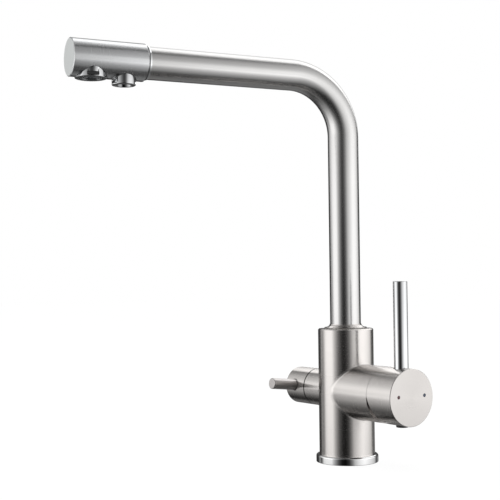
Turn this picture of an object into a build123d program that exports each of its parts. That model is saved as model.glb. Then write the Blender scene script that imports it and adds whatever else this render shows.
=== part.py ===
"""Three-way kitchen tap: a mixer lever on one side, a drinking-water lever on the other, one swivel spout.

Millimetres. +Z is up, the origin is the centre of the base on the worktop.
The mixer handle points along +X, the drinking-water handle along -X and the user stands at -Y.
"""

import os
from math import cos, pi, radians, sin, tan

from build123d import *

# Body and base
body_diameter = 45.0
body_top = 107.8
body_rim_chamfer = 0.8
ring_diameter = 50.4
ring_height = 6.3
ring_rounding = 1.6
spigot_diameter = 40.6
seal_width = 2.6
seal_thickness = 1.6
seal_margin = 0.9

# Hose and stud sockets under the base
inlet_block_diameter = 34.9
inlet_block_height = 14.0
inlet_gasket_thickness = 1.0
socket_circle_radius = 10.5
hose_socket_radius = 4.5
hose_socket_depth = 11.0
stud_socket_radius = 3.4
stud_socket_depth = 12.0
waterway_radius = 3.2

# Spout tube
tube_diameter = 25.0
tube_wall = 1.5
spout_height = 312.4
bend_radius = 48.0
spout_reach = 230.1
spout_rest_turn = -9.0
collar_diameter = 34.4
collar_height = 3.0
collar_lip = 0.4
collar_edge = 0.4

# Swivel joint between body and spout
swivel_chamber_diameter = 21.0
swivel_chamber_depth = 28.8
adaptor_floor_gap = 5.0
adaptor_tube_length = 12.0
bush_diameter = 26.0
bush_depth = 4.0
bush_flange_diameter = 31.2
bush_flange_height = 0.6
o_ring_section = 2.0
o_ring_groove_width = 2.5
lower_o_ring_rise = 4.0
upper_o_ring_drop = 2.8
screw_drop = 13.3
screw_diameter = 5.0
screw_tip_diameter = 3.4
screw_recess = 0.9
keeper_groove_width = 4.2
keeper_groove_depth = 1.7
nipple_diameter = 8.9
nipple_length = 13.5
nipple_socket_depth = 13.0
nipple_ring_section = 1.2
mixed_hole_radius = 1.6
mixed_hole_circle = 5.9
mixed_hole_count = 6

# Drinking-water tube inside the spout
water_tube_diameter = 6.0
water_tube_wall = 0.8
water_tube_overlap = 6.5

# Spout head
head_diameter = 28.6
head_length = 58.4
head_bevel = 1.4
head_ring_diameter = 26.4
head_ring_length = 1.5
head_ring_gap = 0.15
end_cap_thickness = 1.4
end_cap_chamfer = 0.5
end_cap_spigot = 2.0
end_cap_spigot_wall = 1.8
outlet_block_gap = 0.1
outlet_hole_gap = 0.35
tube_in_head = 5.5
tube_end_gap = 0.6
aerator_diameter = 23.7
aerator_from_end = 16.35
aerator_height = 9.0
aerator_drop = 0.4
aerator_wall = 2.1
aerator_lip = 0.8
aerator_notch_width = 9.2
aerator_notch_height = 2.5
aerator_notch_angle = -7.0
insert_hole_radius = 1.05
insert_hole_pitch = 4.0
insert_recess = 0.8
insert_rim = 0.5
gasket_thickness = 1.6
outlet_spacing = 25.5
nozzle_diameter = 18.1
nozzle_drop = 4.0
nozzle_height = 9.6
nozzle_rounding = 0.8
nozzle_bore_radius = 5.6
nozzle_bore_depth = 6.0
nozzle_notch_width = 4.4
nozzle_notch_height = 1.9
nozzle_notch_angle = -78.5
nozzle_recess = 1.9
nozzle_hole_radius = 0.9
nozzle_hole_pitch = 3.0
notch_depth = 1.2
notch_rim = 0.9
notch_rounding = 0.5
mixed_channel_radius = 3.2
mixed_channel_offset = 7.5

# Handle axes, shared by both side bosses
handle_height = 57.5
saddle_rounding = 2.0

# Mixer boss and cartridge, placed along +X
mixer_boss_diameter = 44.0
mixer_boss_end = 50.2
cartridge_bore_diameter = 35.2
cartridge_bore_floor = 15.0
port_seal_radius = 4.2
port_seal_thickness = 1.2
port_radius = 3.0
inlet_port_circle = 9.5
outlet_port_drop = 3.0
cartridge_base_thickness = 4.8
base_gap = 0.2
fixed_disc_radius = 13.6
fixed_disc_thickness = 3.5
moving_disc_radius = 11.0
moving_disc_thickness = 3.4
mixing_pocket_depth = 1.6
mixing_pocket_lap = 0.1
carrier_thickness = 3.4
carrier_pad_width = 14.0
carrier_pad_height = 0.9
carrier_pocket_floor = 0.4
housing_wall = 1.8
housing_front = 42.5
housing_front_wall = 2.5
rotor_radius = 13.4
rotor_neck_radius = 10.8
rotor_neck_end = 46.0
lever_pivot = 42.0
pivot_pin_radius = 1.5
pivot_pin_length = 20.6
stem_width = 7.0
stem_end = 72.0
stem_ball_radius = 2.5
stem_ball_neck = 2.1
nut_length = 5.5
nut_bore_radius = 13.0
nut_slot_width = 3.0
nut_slot_depth = 1.5
dome_radius = 19.3
dome_wall = 1.2
dome_opening_radius = 10.0
lever_range = 15.0

# Mixer handle
hub_front = 77.4
hub_gap = 0.3
hub_relief_rise = 1.0
hub_relief_slope = 16.0
hub_cavity_radius = 18.6
hub_cavity_floor = 62.3
hub_rim_chamfer = 0.3
lever_position = 66.3
lever_diameter = 11.0
lever_top = 146.0
lever_seat_radius = 19.5
lever_edge = 0.9
lever_stud_radius = 3.0
lever_stud_end = 6.0
grub_radius = 2.0
grub_length = 7.0
grub_socket_radius = 1.1
grub_socket_depth = 2.0
plug_radius = 4.6
plug_proud = 1.2
plug_depth = 1.5
marker_radius = 1.35
marker_offset = 13.1
marker_rise = 1.2
marker_depth = 0.4

# Drinking-water boss and valve, placed along -X
filter_boss_diameter = 30.6
filter_boss_end = 37.2
filter_bore_diameter = 20.1
filter_bore_floor = 12.0
valve_seal_thickness = 1.2
valve_seal_inner = 6.4
valve_skirt_radius = 8.2
valve_disc_radius = 7.1
valve_disc_thickness = 2.5
valve_window_height = 5.0
valve_window_width = 8.0
valve_thread_start = 27.0
valve_end = 36.5
spindle_radius = 4.9
spindle_drive_width = 3.2
spindle_drive_length = 5.4
spline_radius = 4.0
spline_end = 54.0
clip_radius = 7.0
clip_thickness = 0.7
filter_hub_gap = 0.8
filter_hub_end = 62.8
filter_hub_rounding = 1.0
filter_hub_recess_radius = 8.0
filter_hub_recess_depth = 1.6
filter_lever_position = 51.0
filter_lever_diameter = 9.0
filter_lever_reach = 38.6
filter_lever_seat = 11.0
filter_lever_edge = 0.5
filter_stud_radius = 2.5
filter_stud_end = 5.2
filter_rest_lift = 6.0
filter_grub_angle = 125.0
filter_grub_radius = 1.75

# Clearances
running_fit = 0.08
disc_gap = 0.05
seat_gap = 0.05
screw_gap = 0.05
loose_gap = 0.3
counterbore_gap = 0.5

# Values that follow from those above
body_radius = body_diameter / 2
swivel_chamber_floor = body_top - swivel_chamber_depth
adaptor_bottom = swivel_chamber_floor + adaptor_floor_gap
lower_o_ring_height = adaptor_bottom + lower_o_ring_rise
upper_o_ring_height = body_top - bush_depth - upper_o_ring_drop
screw_height = body_top - screw_drop
tube_radius = tube_diameter / 2
tube_bore = tube_radius - tube_wall
head_radius = head_diameter / 2
head_bore = tube_radius + seat_gap
head_start = spout_reach - head_length
hub_radius = mixer_boss_diameter / 2
filter_radius = filter_boss_diameter / 2
recess_ceiling = inlet_block_height + inlet_gasket_thickness
socket_offset = socket_circle_radius / 2 ** 0.5
inlet_port_offset = inlet_port_circle / 2 ** 0.5
swivel_chamber_radius = swivel_chamber_diameter / 2
adaptor_radius = swivel_chamber_radius - running_fit
nipple_socket_radius = nipple_diameter / 2 + running_fit
water_tube_radius = water_tube_diameter / 2
spout_foot = body_top + bush_flange_height + running_fit
disc_start = cartridge_bore_floor + base_gap + cartridge_base_thickness
moving_disc_start = disc_start + fixed_disc_thickness + disc_gap
carrier_start = moving_disc_start + moving_disc_thickness
rotor_start = carrier_start + carrier_thickness + running_fit
ball_height = carrier_start + carrier_pocket_floor + stem_ball_radius + 2 * running_fit
aerator_position = spout_reach - aerator_from_end
nozzle_position = aerator_position - outlet_spacing
head_underside = spout_height - head_radius
aerator_bottom = head_underside - aerator_drop
nozzle_bottom = head_underside - nozzle_drop

along_mixer = Pos(0, 0, handle_height) * Rot(0, 90, 0)
along_filter = Pos(0, 0, handle_height) * Rot(0, -90, 0)
filter_lever_turn = Rot(0, 0, filter_rest_lift)
along_spout = Pos(0, 0, spout_height) * Rot(90, 0, 0)
spout_turn = Rot(0, 0, spout_rest_turn)


def turned(points):
    """Solid of revolution about Z from (radius, height) corners."""
    corners = [(radius, 0, height) for radius, height in points]
    return revolve(make_face(Polyline(*corners, close=True)), Axis.Z)


def rod(radius, start, end, x=0.0, y=0.0):
    """Cylinder parallel to Z between two heights."""
    return Pos(x, y, (start + end) / 2) * Cylinder(radius, end - start)


def ring(outer, inner, start, end, x=0.0, y=0.0):
    """Flat ring parallel to Z between two heights."""
    return rod(outer, start, end, x, y) - rod(inner, start - 1, end + 1, x, y)


def channel(radius, *corners):
    """Drilled waterway through the given points, round at each corner."""
    whole = None
    for start, end in zip(corners, corners[1:]):
        line = Vector(*end) - Vector(*start)
        middle = (Vector(*start) + Vector(*end)) / 2
        plane = Plane(origin=middle, z_dir=line)
        drill = plane * Cylinder(radius, line.length)
        drill += Pos(*end) * Sphere(radius)
        whole = drill if whole is None else whole + drill
    return whole


def round_band(section, centre_radius, height):
    """One O-ring about Z."""
    return Pos(0, 0, height) * Torus(centre_radius, section / 2)


def hole_rosette(radius, pitch, start, end, room):
    """Holes on rings about Z within the given radius, six more on each ring."""
    rows = int((room - radius) / pitch)
    holes = [rod(radius, start, end)]
    for row in range(1, rows + 1):
        for step in range(6 * row):
            angle = 2 * pi * step / (6 * row)
            holes.append(rod(radius, start, end, row * pitch * cos(angle), row * pitch * sin(angle)))
    return holes


# Base


def base_ring():
    outer = ring_diameter / 2
    inner = spigot_diameter / 2 + seat_gap
    seal_outer = outer - seal_margin
    seal_inner = seal_outer - seal_width
    solid = ring(outer, inner, 0, ring_height)
    solid = fillet(solid.edges().filter_by(GeomType.CIRCLE).group_by(Axis.Z)[-1].sort_by(SortBy.LENGTH)[-1],
                   ring_rounding)
    return solid - ring(seal_outer, seal_inner, -1, seal_thickness)


def base_seal():
    outer = ring_diameter / 2 - seal_margin - seat_gap
    inner = outer - seal_width + 2 * seat_gap
    return ring(outer, inner, 0, seal_thickness)


def socket_places():
    """Hot and cold inlets on the mixer's side, drinking-water inlet and stud on the other."""
    return {
        "hot": (socket_offset, -socket_offset),
        "cold": (socket_offset, socket_offset),
        "drinking": (-socket_offset, socket_offset),
        "stud": (-socket_offset, -socket_offset),
    }


def inlet_block():
    solid = rod(inlet_block_diameter / 2, 0, inlet_block_height)
    for name, (x, y) in socket_places().items():
        if name == "stud":
            solid -= rod(stud_socket_radius, -1, stud_socket_depth, x, y)
            continue
        solid -= rod(hose_socket_radius, -1, hose_socket_depth, x, y)
        solid -= rod(waterway_radius, 0, inlet_block_height + 1, x, y)
    return solid


def inlet_gasket():
    solid = rod(inlet_block_diameter / 2, inlet_block_height, recess_ceiling)
    for name, (x, y) in socket_places().items():
        if name != "stud":
            solid -= rod(waterway_radius, 0, recess_ceiling + 1, x, y)
    return solid


# Body


def body_waterways():
    """Hot, cold and mixed water for the mixer, and the drinking-water line to the spout's centre."""
    inlet_height = handle_height + inlet_port_offset
    outlet_height = handle_height - outlet_port_drop
    mixed_side = swivel_chamber_radius - mixed_hole_radius - 0.4
    rise = nipple_socket_floor() + waterway_radius
    ways = []
    for side in (-1, 1):
        ways.append(channel(
            waterway_radius,
            (socket_offset, side * socket_offset, recess_ceiling - 1),
            (socket_offset, side * socket_offset, inlet_height),
            (cartridge_bore_floor + 1 - waterway_radius, side * inlet_port_offset, inlet_height),
        ))
    ways.append(channel(
        2.7,
        (cartridge_bore_floor + 0.5, 0, outlet_height),
        (mixed_side + 1.5, 0, outlet_height),
        (mixed_side, 0, swivel_chamber_floor + 1),
    ))
    ways.append(channel(
        2.6,
        (-socket_offset, socket_offset, recess_ceiling - 1),
        (-socket_offset, socket_offset, handle_height - 8),
        (-filter_bore_floor + 3, 0, handle_height),
        (-filter_bore_floor - 0.5, 0, handle_height),
    ))
    ways.append(channel(
        2.2,
        (-18, 0, handle_height + filter_bore_diameter / 2 - 1),
        (-14, 0, rise),
        (0, 0, rise),
    ))
    return ways


def nipple_socket_floor():
    return swivel_chamber_floor - nipple_socket_depth


def cartridge_bore():
    return along_mixer * rod(cartridge_bore_diameter / 2, cartridge_bore_floor, mixer_boss_end + 1)


def valve_bore():
    return along_filter * rod(filter_bore_diameter / 2, filter_bore_floor, filter_boss_end + 1)


def body_column():
    solid = rod(body_radius, ring_height, body_top)
    solid = chamfer(solid.edges().group_by(Axis.Z)[-1], body_rim_chamfer)
    solid += rod(spigot_diameter / 2, loose_gap, ring_height)
    solid -= rod(inlet_block_diameter / 2 + seat_gap, -1, recess_ceiling)
    solid -= rod(swivel_chamber_radius, swivel_chamber_floor, body_top + 1)
    solid -= rod(bush_diameter / 2 + seat_gap, body_top - bush_depth, body_top + 1)
    solid -= rod(nipple_socket_radius, nipple_socket_floor(), body_top)
    solid -= screw_axis() * rod(screw_diameter / 2 + screw_gap, 0, body_radius + 1)
    solid = solid - cartridge_bore() - valve_bore()
    for way in body_waterways():
        solid -= way
    return solid


def boss_on_column(boss):
    """The boss outside the column, with a small round where it is brazed on."""
    column = rod(body_radius, ring_height, body_top)
    joined = column + boss
    return fillet(joined.edges().filter_by(GeomType.BSPLINE), saddle_rounding) - column


def mixer_boss():
    """Sleeve round the cartridge."""
    return boss_on_column(along_mixer * rod(hub_radius, 0, mixer_boss_end)) - cartridge_bore()


def filter_boss():
    """Sleeve round the drinking-water valve."""
    return boss_on_column(along_filter * rod(filter_radius, 0, filter_boss_end)) - valve_bore()


def screw_axis():
    """Turns a piece built along Z to point out of the back of the body."""
    return Pos(0, 0, screw_height) * Rot(-90, 0, 0)


def spout_keeper_screw():
    tip = adaptor_radius - keeper_groove_depth + loose_gap
    shoulder = swivel_chamber_radius + loose_gap
    end = body_radius - screw_recess
    solid = rod(screw_tip_diameter / 2, tip, shoulder) + rod(screw_diameter / 2, shoulder, end)
    socket = extrude(RegularPolygon(1.45, 6), 2.2)
    return screw_axis() * (solid - Pos(0, 0, end - 2.2) * socket)


def swivel_bush():
    solid = ring(bush_diameter / 2, swivel_chamber_radius, body_top - bush_depth, body_top)
    flange_top = body_top + bush_flange_height
    return solid + ring(bush_flange_diameter / 2, swivel_chamber_radius, body_top, flange_top)


# Mixer cartridge, built along Z and laid along +X


def inlet_ports(radius, start, end):
    """Hot and cold holes, above the cartridge's axis."""
    return [rod(radius, start, end, -inlet_port_offset, side * inlet_port_offset) for side in (-1, 1)]


def outlet_port(radius, start, end):
    return rod(radius, start, end, outlet_port_drop, 0)


def cartridge_port_seals():
    start = cartridge_bore_floor
    end = start + port_seal_thickness
    places = [(-inlet_port_offset, side * inlet_port_offset) for side in (-1, 1)] + [(outlet_port_drop, 0)]
    return [along_mixer * ring(port_seal_radius, port_radius, start, end, x, y) for x, y in places]


def cartridge_base():
    start = cartridge_bore_floor + base_gap
    solid = rod(cartridge_bore_diameter / 2 - 0.2, start, disc_start)
    seat_top = cartridge_bore_floor + port_seal_thickness + seat_gap
    for hole in inlet_ports(port_radius, start - 1, disc_start + 1):
        solid -= hole
    for seat in inlet_ports(port_seal_radius + seat_gap, start - 1, seat_top):
        solid -= seat
    solid -= outlet_port(port_radius, start - 1, disc_start + 1)
    solid -= outlet_port(port_seal_radius + seat_gap, start - 1, seat_top)
    return along_mixer * solid


def cartridge_fixed_disc():
    end = disc_start + fixed_disc_thickness
    solid = rod(fixed_disc_radius, disc_start, end)
    for hole in inlet_ports(port_radius, disc_start - 1, end + 1):
        solid -= hole
    return along_mixer * (solid - outlet_port(port_radius, disc_start - 1, end + 1))


def cartridge_housing():
    outer = cartridge_bore_diameter / 2 - 0.2
    solid = rod(outer, disc_start, housing_front)
    solid -= rod(outer - housing_wall, disc_start - 1, housing_front - housing_front_wall)
    return along_mixer * (solid - rod(rotor_neck_radius + running_fit, disc_start, housing_front + 1))


def cartridge_nut():
    start = housing_front
    end = start + nut_length
    solid = ring(cartridge_bore_diameter / 2 - screw_gap, nut_bore_radius, start, end)
    for step in range(4):
        slot = Pos(nut_bore_radius + 1, 0, end) * Box(5, nut_slot_width, 2 * nut_slot_depth)
        solid -= Rot(0, 0, 90 * step) * slot
    return along_mixer * solid


def cartridge_dome():
    """Polished cover that is part of a ball about the lever's pivot, open for the stem."""
    skirt = cartridge_bore_diameter / 2 - 0.15
    start = housing_front + nut_length
    ball = Pos(0, 0, lever_pivot) * Sphere(dome_radius)
    inside = Pos(0, 0, lever_pivot) * Sphere(dome_radius - dome_wall)
    solid = rod(skirt, start, lever_pivot + dome_radius) & ball
    solid -= inside
    solid -= rod(skirt - dome_wall, start - 1, start + 1.5)
    return along_mixer * (solid - rod(dome_opening_radius, start, lever_pivot + dome_radius + 1))


def cartridge_moving_disc():
    """Its round pocket stays inside the inlets while the lever is down and laps over them as it slides."""
    end = moving_disc_start + moving_disc_thickness
    pocket_radius = inlet_port_circle - port_radius - mixing_pocket_lap
    solid = rod(moving_disc_radius, moving_disc_start, end)
    pocket_end = moving_disc_start + mixing_pocket_depth
    return along_mixer * (solid - rod(pocket_radius, moving_disc_start - 1, pocket_end))


def disc_carrier():
    end = carrier_start + carrier_thickness
    solid = rod(moving_disc_radius + 0.3, carrier_start, end)
    pad = Pos(0, 0, end) * Box(17, carrier_pad_width, 2 * carrier_pad_height)
    solid += pad & rod(moving_disc_radius, end - 1, end + carrier_pad_height)
    width = 2 * (stem_ball_radius + running_fit)
    pocket = Pos(0, 0, end) * Box(width, width, 2 * (carrier_thickness - carrier_pocket_floor))
    return along_mixer * (solid - pocket)


def cartridge_rotor():
    solid = rod(rotor_radius, rotor_start, housing_front - housing_front_wall - loose_gap)
    solid += rod(rotor_neck_radius, rotor_start + 1, rotor_neck_end)
    groove_depth = carrier_pad_height + running_fit
    groove = Box(2 * rotor_radius + 2, carrier_pad_width + 2 * running_fit, 2 * groove_depth)
    solid -= Pos(0, 0, rotor_start) * groove
    swing = (lever_pivot - rotor_start) * sin(radians(lever_range)) + 1.2
    dip = (rotor_neck_end - lever_pivot) * sin(radians(lever_range)) + 0.4
    low = stem_width / 2 + dip
    high = stem_width / 2 + swing
    length = rotor_neck_end - rotor_start + 4
    slot = Pos((low - high) / 2, 0, (rotor_neck_end + rotor_start) / 2)
    solid -= slot * Box(low + high, stem_width + 2 * running_fit, length)
    solid -= pin_axis() * rod(pivot_pin_radius, -rotor_radius, rotor_radius)
    return along_mixer * solid


def pin_axis():
    return Pos(0, 0, lever_pivot) * Rot(90, 0, 0)


def lever_pivot_pin():
    return along_mixer * (pin_axis() * rod(pivot_pin_radius, -pivot_pin_length / 2, pivot_pin_length / 2))


# Mixer handle, built along Z and laid along +X; its top is at -X before it is laid


def lever_stem():
    square_start = ball_height + stem_ball_radius + 1.2
    square = Pos(0, 0, (square_start + stem_end) / 2) * Box(stem_width, stem_width, stem_end - square_start)
    solid = chamfer(square.edges().filter_by(Axis.Z), 0.5)
    solid += rod(stem_ball_neck, ball_height, square_start)
    solid += Pos(0, 0, ball_height) * Sphere(stem_ball_radius)
    return along_mixer * (solid - pin_axis() * rod(pivot_pin_radius + running_fit, -stem_width, stem_width))


def to_top():
    """Turns a piece built along Z to point at the handle's top at the lever's place."""
    return Pos(0, 0, lever_position) * Rot(0, -90, 0)


def to_bottom():
    return Pos(0, 0, lever_position) * Rot(0, 90, 0)


def mixer_hub():
    start = mixer_boss_end + hub_gap
    low_height = start + (hub_radius + 1 + hub_relief_rise) * tan(radians(hub_relief_slope))
    solid = rod(hub_radius, start, hub_front)
    solid = chamfer(solid.edges().group_by(Axis.Z)[-1], hub_rim_chamfer)
    solid -= rod(hub_cavity_radius, start - 1, hub_cavity_floor)
    relief = Polyline(
        (-hub_relief_rise, 0, start), (hub_radius + 1, 0, low_height), (hub_radius + 1, 0, start), close=True)
    solid -= extrude(make_face(relief), hub_radius + 1, both=True)
    socket = stem_width + 2 * screw_gap
    depth = stem_end + loose_gap - hub_cavity_floor
    solid -= Pos(0, 0, hub_cavity_floor + depth / 2) * Box(socket, socket, depth)
    solid -= to_top() * rod(lever_diameter / 2 + counterbore_gap, lever_seat_radius, hub_radius + 1)
    solid -= to_top() * rod(lever_stud_radius + screw_gap, lever_stud_end - 1, hub_radius)
    solid -= to_bottom() * rod(grub_radius + screw_gap, 0, hub_radius + 1)
    solid -= to_bottom() * rod(plug_radius + seat_gap, hub_radius - plug_depth, hub_radius + 1)
    for side_sign in (-1, 1):
        y = side_sign * marker_offset
        solid -= rod(marker_radius + seat_gap, hub_front - marker_depth, hub_front + 1, -marker_rise, y)
    return along_mixer * solid


def round_bar(radius, start, end, edge):
    """Straight bar with a small rounding at its free end."""
    solid = rod(radius, start, end)
    return fillet(solid.edges().group_by(Axis.Z)[-1], edge)


def mixer_lever():
    bar = round_bar(lever_diameter / 2, lever_seat_radius, lever_top - handle_height, lever_edge)
    bar += rod(lever_stud_radius, lever_stud_end, lever_seat_radius)
    return along_mixer * (to_top() * bar)


def grub_screw(radius, start, length):
    socket = extrude(RegularPolygon(grub_socket_radius, 6), grub_socket_depth)
    return rod(radius, start, start + length) - Pos(0, 0, start + length - grub_socket_depth) * socket


def mixer_grub_screw():
    return along_mixer * (to_bottom() * grub_screw(grub_radius, stem_width / 2, grub_length))


def mixer_grub_plug():
    start = hub_radius - plug_depth
    cap = round_bar(plug_radius, start, hub_radius + plug_proud, 0.4)
    return along_mixer * (to_bottom() * (cap + rod(grub_radius - seat_gap, start - 3, start)))


def marker(side_sign):
    disc = rod(marker_radius, hub_front - marker_depth, hub_front, -marker_rise, side_sign * marker_offset)
    return along_mixer * disc


# Drinking-water valve and handle, built along Z and laid along -X


def filter_valve_seal():
    outer = filter_bore_diameter / 2 - 0.2
    seal_end = filter_bore_floor + valve_seal_thickness
    return along_filter * ring(outer, valve_seal_inner, filter_bore_floor, seal_end)


def valve_disc_start():
    return filter_bore_floor + valve_seal_thickness + 0.8


def spindle_start():
    return valve_disc_start() + 2 * valve_disc_thickness + 2 * disc_gap


def filter_valve_body():
    start = filter_bore_floor + valve_seal_thickness
    outer = filter_bore_diameter / 2 - screw_gap
    bore = valve_disc_radius + running_fit
    drive_end = spindle_start() + spindle_drive_length
    solid = rod(valve_skirt_radius, start, valve_thread_start) + rod(outer, start, start + 1.6)
    solid += rod(outer, valve_thread_start, valve_end)
    solid -= rod(bore, valve_disc_start(), drive_end + loose_gap)
    solid -= rod(valve_seal_inner - 1.2, start - 1, valve_disc_start() + 1)
    solid -= rod(spindle_radius + running_fit, drive_end, valve_end + 1)
    window = Pos(0, 0, spindle_start() + valve_window_height / 2)
    solid -= window * Box(3 * valve_skirt_radius, valve_window_width, valve_window_height)
    return along_filter * solid


def valve_disc(start):
    """Ceramic disc with two openings opposite each other."""
    solid = rod(valve_disc_radius, start, start + valve_disc_thickness)
    for side in (-1, 1):
        solid -= rod(2.0, start - 1, start + valve_disc_thickness + 1, side * 3.6, 0)
    return solid


def filter_fixed_disc():
    return along_filter * valve_disc(valve_disc_start())


def filter_moving_disc():
    start = valve_disc_start() + valve_disc_thickness + disc_gap
    return along_filter * (filter_lever_turn * valve_disc(start))


def filter_spindle():
    start = spindle_start()
    drive_end = start + spindle_drive_length
    drive = Box(spindle_drive_width, 2 * valve_disc_radius, spindle_drive_length)
    drive = Pos(0, 0, (start + drive_end) / 2) * drive
    solid = drive & rod(valve_disc_radius - running_fit, start, drive_end)
    solid += rod(spindle_radius, drive_end - 1, filter_boss_end + clip_thickness + 0.6)
    solid -= ring(spindle_radius + 1, spindle_radius - 0.7, valve_end + loose_gap - 0.05,
                  valve_end + loose_gap + clip_thickness + 0.05)
    solid += rod(spline_radius, filter_boss_end, spline_end)
    return along_filter * (filter_lever_turn * solid)


def spindle_clip():
    """Spring ring, open on one side, that keeps the spindle in the valve body."""
    start = valve_end + loose_gap
    solid = ring(clip_radius, spindle_radius - 0.7 + seat_gap, start, start + clip_thickness)
    mouth = Pos(clip_radius, 0, start) * Box(2 * clip_radius, 4.0, 4 * clip_thickness)
    return along_filter * (filter_lever_turn * (solid - mouth))


def to_lever():
    """Turns a piece built along Z to point along the drinking-water lever."""
    return Pos(0, 0, filter_lever_position) * Rot(90, 0, 0)


def to_filter_grub():
    return Pos(0, 0, filter_lever_position) * Rot(0, 0, -filter_grub_angle) * Rot(90, 0, 0)


def filter_hub():
    start = filter_boss_end + filter_hub_gap
    solid = rod(filter_radius, start, filter_hub_end)
    solid = fillet(solid.edges().group_by(Axis.Z)[-1], filter_hub_rounding)
    solid -= rod(filter_hub_recess_radius, start - 1, start + filter_hub_recess_depth)
    solid -= rod(spline_radius + screw_gap, start, spline_end + loose_gap)
    counterbore_radius = filter_lever_diameter / 2 + counterbore_gap
    solid -= to_lever() * rod(counterbore_radius, filter_lever_seat, filter_radius + 1)
    solid -= to_lever() * rod(filter_stud_radius + screw_gap, filter_stud_end - 0.5, filter_radius)
    solid -= to_filter_grub() * rod(filter_grub_radius + screw_gap, 0, filter_radius + 1)
    return along_filter * (filter_lever_turn * solid)


def filter_lever():
    bar = round_bar(filter_lever_diameter / 2, filter_lever_seat, filter_lever_reach, filter_lever_edge)
    bar += rod(filter_stud_radius, filter_stud_end, filter_lever_seat)
    return along_filter * (filter_lever_turn * (to_lever() * bar))


def filter_grub_screw():
    length = filter_radius - spline_radius - 1.2
    screw = grub_screw(filter_grub_radius, spline_radius + seat_gap, length)
    return along_filter * (filter_lever_turn * (to_filter_grub() * screw))


# Spout, built pointing along -Y and then turned to its rest angle


def bent_tube(outer, wall, start_height, reach):
    """Round tube that rises, turns through one quarter bend and runs out level."""
    def bar(radius):
        rise = rod(radius, start_height, spout_height - bend_radius)
        section = Plane(origin=(0, 0, spout_height - bend_radius)) * Circle(radius)
        pivot = Axis((0, -bend_radius, spout_height - bend_radius), (1, 0, 0))
        return rise + revolve(section, pivot, 90) + along_spout * rod(radius, bend_radius, reach)
    return bar(outer) - bar(outer - wall)


def spout_tube():
    return spout_turn * bent_tube(tube_radius, tube_wall, spout_foot, head_start + tube_in_head)


def filter_water_tube():
    reach = outlet_block_start() + water_tube_overlap
    return spout_turn * bent_tube(water_tube_radius, water_tube_wall, adaptor_bottom + 3.5, reach)


def spout_collar():
    """Low foot that flares out in a hollow curve where the tube meets the body."""
    inner = tube_radius + seat_gap
    outer = collar_diameter / 2
    flare_width = outer - inner - collar_edge
    flare_height = collar_height - collar_lip
    straight = Polyline(
        (outer, collar_lip), (outer, 0), (inner, 0), (inner, collar_height),
        (inner + collar_edge, collar_height))
    flare = EllipticalCenterArc((outer, collar_height), flare_width, flare_height, 180, arc_size=90)
    profile = Rot(90, 0, 0) * make_face([straight, flare])
    return spout_turn * Pos(0, 0, spout_foot) * revolve(profile, Axis.Z)


def spout_adaptor():
    groove_floor = swivel_chamber_radius - o_ring_section - 2 * seat_gap
    top = spout_foot + adaptor_tube_length
    solid = rod(adaptor_radius, adaptor_bottom, spout_foot + 1) + rod(tube_bore - seat_gap, spout_foot, top)
    solid += rod(nipple_diameter / 2, adaptor_bottom - nipple_length, adaptor_bottom)
    for height in (lower_o_ring_height, upper_o_ring_height):
        low = height - o_ring_groove_width / 2
        solid -= ring(adaptor_radius + 1, groove_floor, low, low + o_ring_groove_width)
    low = screw_height - keeper_groove_width / 2
    solid -= ring(adaptor_radius + 1, adaptor_radius - keeper_groove_depth, low, low + keeper_groove_width)
    nipple_ring = nipple_ring_height()
    solid -= ring(nipple_diameter, nipple_socket_radius - nipple_ring_section - 2 * seat_gap,
                  nipple_ring - nipple_ring_section, nipple_ring + nipple_ring_section)
    solid -= rod(water_tube_radius + seat_gap, adaptor_bottom + 3.0, top + 1)
    solid -= rod(water_tube_radius - water_tube_wall, adaptor_bottom - nipple_length - 1, top)
    for step in range(mixed_hole_count):
        angle = 2 * pi * step / mixed_hole_count
        x = mixed_hole_circle * cos(angle)
        y = mixed_hole_circle * sin(angle)
        solid -= rod(mixed_hole_radius, adaptor_bottom - 1, top + 1, x, y)
    return spout_turn * solid


def nipple_ring_height():
    return adaptor_bottom - nipple_length + 3.0


def spout_o_rings():
    band_radius = swivel_chamber_radius - o_ring_section / 2 - seat_gap
    nipple_band = nipple_socket_radius - nipple_ring_section / 2 - seat_gap
    return [
        round_band(o_ring_section, band_radius, lower_o_ring_height),
        round_band(o_ring_section, band_radius, upper_o_ring_height),
        round_band(nipple_ring_section, nipple_band, nipple_ring_height()),
    ]


def spout_head():
    end = spout_reach - end_cap_thickness
    solid = turned([
        (head_bore, head_start), (head_radius - head_bevel, head_start),
        (head_radius, head_start + head_bevel),
        (head_radius, end), (head_bore, end)])
    solid = along_spout * solid
    aerator_hole = aerator_diameter / 2 + outlet_hole_gap
    solid -= rod(aerator_hole, head_underside - 1, spout_height, 0, -aerator_position)
    solid -= rod(nozzle_diameter / 2 + outlet_hole_gap, head_underside - 1, spout_height, 0, -nozzle_position)
    return spout_turn * solid


def head_ring():
    end = head_start - head_ring_gap
    outer = head_ring_diameter / 2
    bevel = (outer - tube_radius) / 2
    solid = turned([
        (tube_radius + seat_gap, end - head_ring_length), (outer - bevel, end - head_ring_length),
        (outer, end - head_ring_length + bevel), (outer, end), (tube_radius + seat_gap, end)])
    return spout_turn * (along_spout * solid)


def head_end_cap():
    start = spout_reach - end_cap_thickness
    solid = rod(head_radius, start, spout_reach)
    solid = chamfer(solid.edges().group_by(Axis.Z)[-1], end_cap_chamfer)
    solid += ring(head_bore - seat_gap, head_bore - end_cap_spigot_wall, start - end_cap_spigot, start)
    return spout_turn * (along_spout * solid)


def outlet_block_start():
    return head_start + tube_in_head + tube_end_gap


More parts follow.
